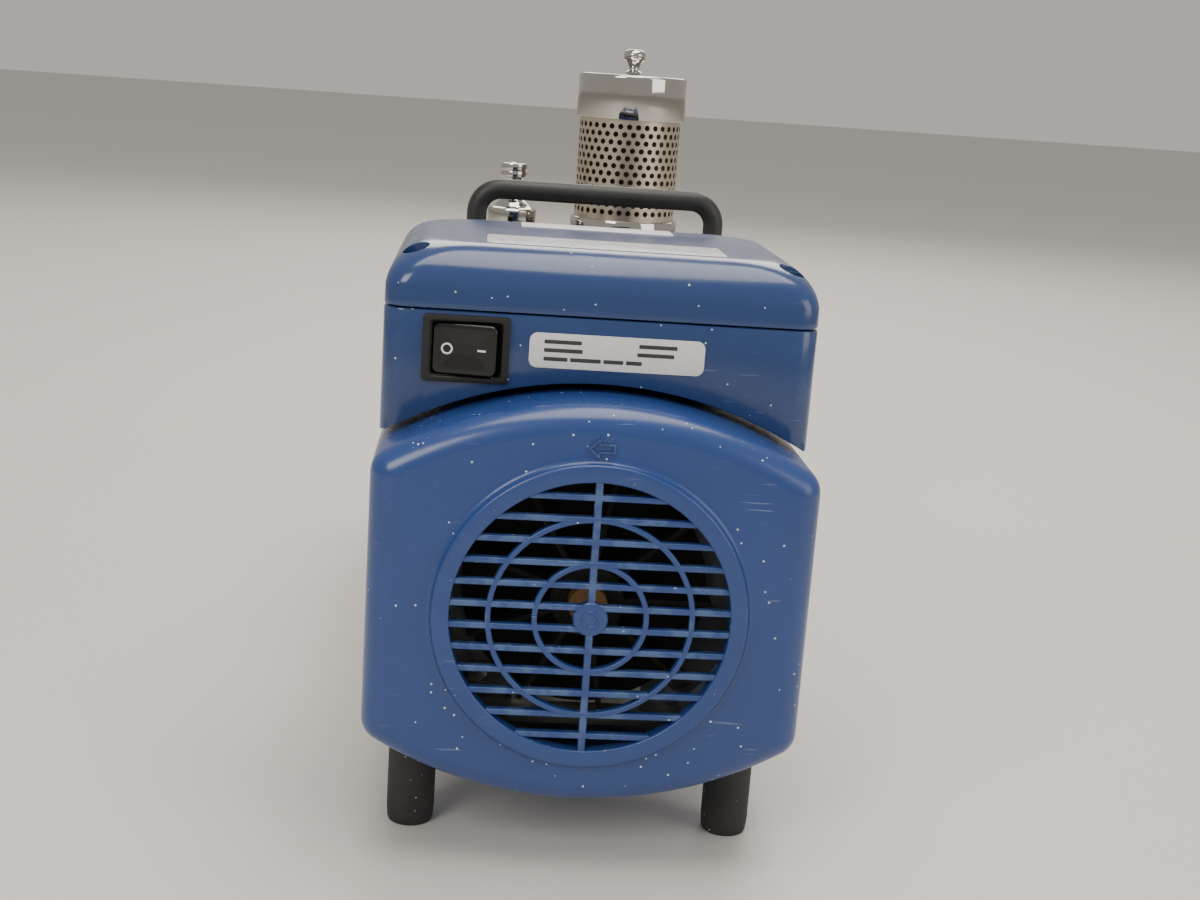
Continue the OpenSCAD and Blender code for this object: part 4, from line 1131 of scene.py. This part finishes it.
def camera():
    lens = bpy.data.cameras.new("camera")
    lens.sensor_width = 36
    lens.lens = 48
    eye = bpy.data.objects.new("camera", lens)
    place_x, place_y, place_z = -0.04644, -0.78578, 0.29807     # metres
    yaw, pitch, roll = -0.0815678, 0.231736, 0.0713941          # radians
    forward = Vector((-math.sin(yaw) * math.cos(pitch), math.cos(yaw) * math.cos(pitch), -math.sin(pitch)))
    level = Vector((math.cos(yaw), math.sin(yaw), 0))
    upright = level.cross(forward)
    right = level * math.cos(roll) + upright * math.sin(roll)
    up = upright * math.cos(roll) - level * math.sin(roll)
    eye.matrix_world = Matrix((
        (right.x, up.x, -forward.x, place_x), (right.y, up.y, -forward.y, place_y),
        (right.z, up.z, -forward.z, place_z), (0, 0, 0, 1)))
    bpy.context.scene.collection.objects.link(eye)
    bpy.context.scene.camera = eye


def floor():
    half = 12.0
    mesh = bpy.data.meshes.new("floor")
    corners = [(-half, -half, 0), (half, -half, 0), (half, half, 0), (-half, half, 0)]
    mesh.from_pydata(corners, [], [(0, 1, 2, 3)])
    ground = bpy.data.objects.new("floor", mesh)
    material = bpy.data.materials.new("pale_floor")
    material.use_nodes = True
    shader = material.node_tree.nodes["Principled BSDF"]
    shader.inputs["Base Color"].default_value = rgb(0.62, 0.6, 0.57)
    shader.inputs["Roughness"].default_value = 0.6
    mesh.materials.append(material)
    bpy.context.scene.collection.objects.link(ground)


def lamp(name, where, aim, size, power):
    """A soft rectangular light, a little warm."""
    light = bpy.data.lights.new(name, "AREA")
    light.shape = "RECTANGLE"
    light.size, light.size_y = size
    light.energy = power
    light.color = (1.0, 0.96, 0.9)
    source = bpy.data.objects.new(name, light)
    source.location = where
    source.rotation_euler = (Vector(aim) - Vector(where)).to_track_quat("-Z", "Y").to_euler()
    bpy.context.scene.collection.objects.link(source)


def lights():
    middle = (0, 0, 0.12)
    lamp("ceiling", (0.15, -0.1, 2.1), middle, (1.9, 1.2), 42)
    lamp("key", (-1.3, -1.9, 1.6), middle, (1.0, 1.0), 26)
    lamp("fill", (1.7, -1.2, 0.9), middle, (1.2, 1.2), 12)
    lamp("back", (0.3, 2.0, 1.4), middle, (1.6, 1.0), 22)
    world = bpy.data.worlds.new("room")
    world.use_nodes = True
    sky = world.node_tree.nodes["Background"]
    sky.inputs["Color"].default_value = rgb(1.0, 0.95, 0.87)
    sky.inputs["Strength"].default_value = 0.5
    bpy.context.scene.world = world


camera()
floor()
lights()
case_material, plastic = dress_nodes()
chrome = polished_plate()
film = silver_film()
fan_cowl(blue_cowl())
electrical_box(blue_box())
labels(film, label_ink(), printed_film())
switch(plastic, rocker_black(), white_mark())
carry_handle(coated_handle())
filter_parts(chrome)
inlet_fitting(chrome)
feet(foot_rubber())
oil_case(case_material)
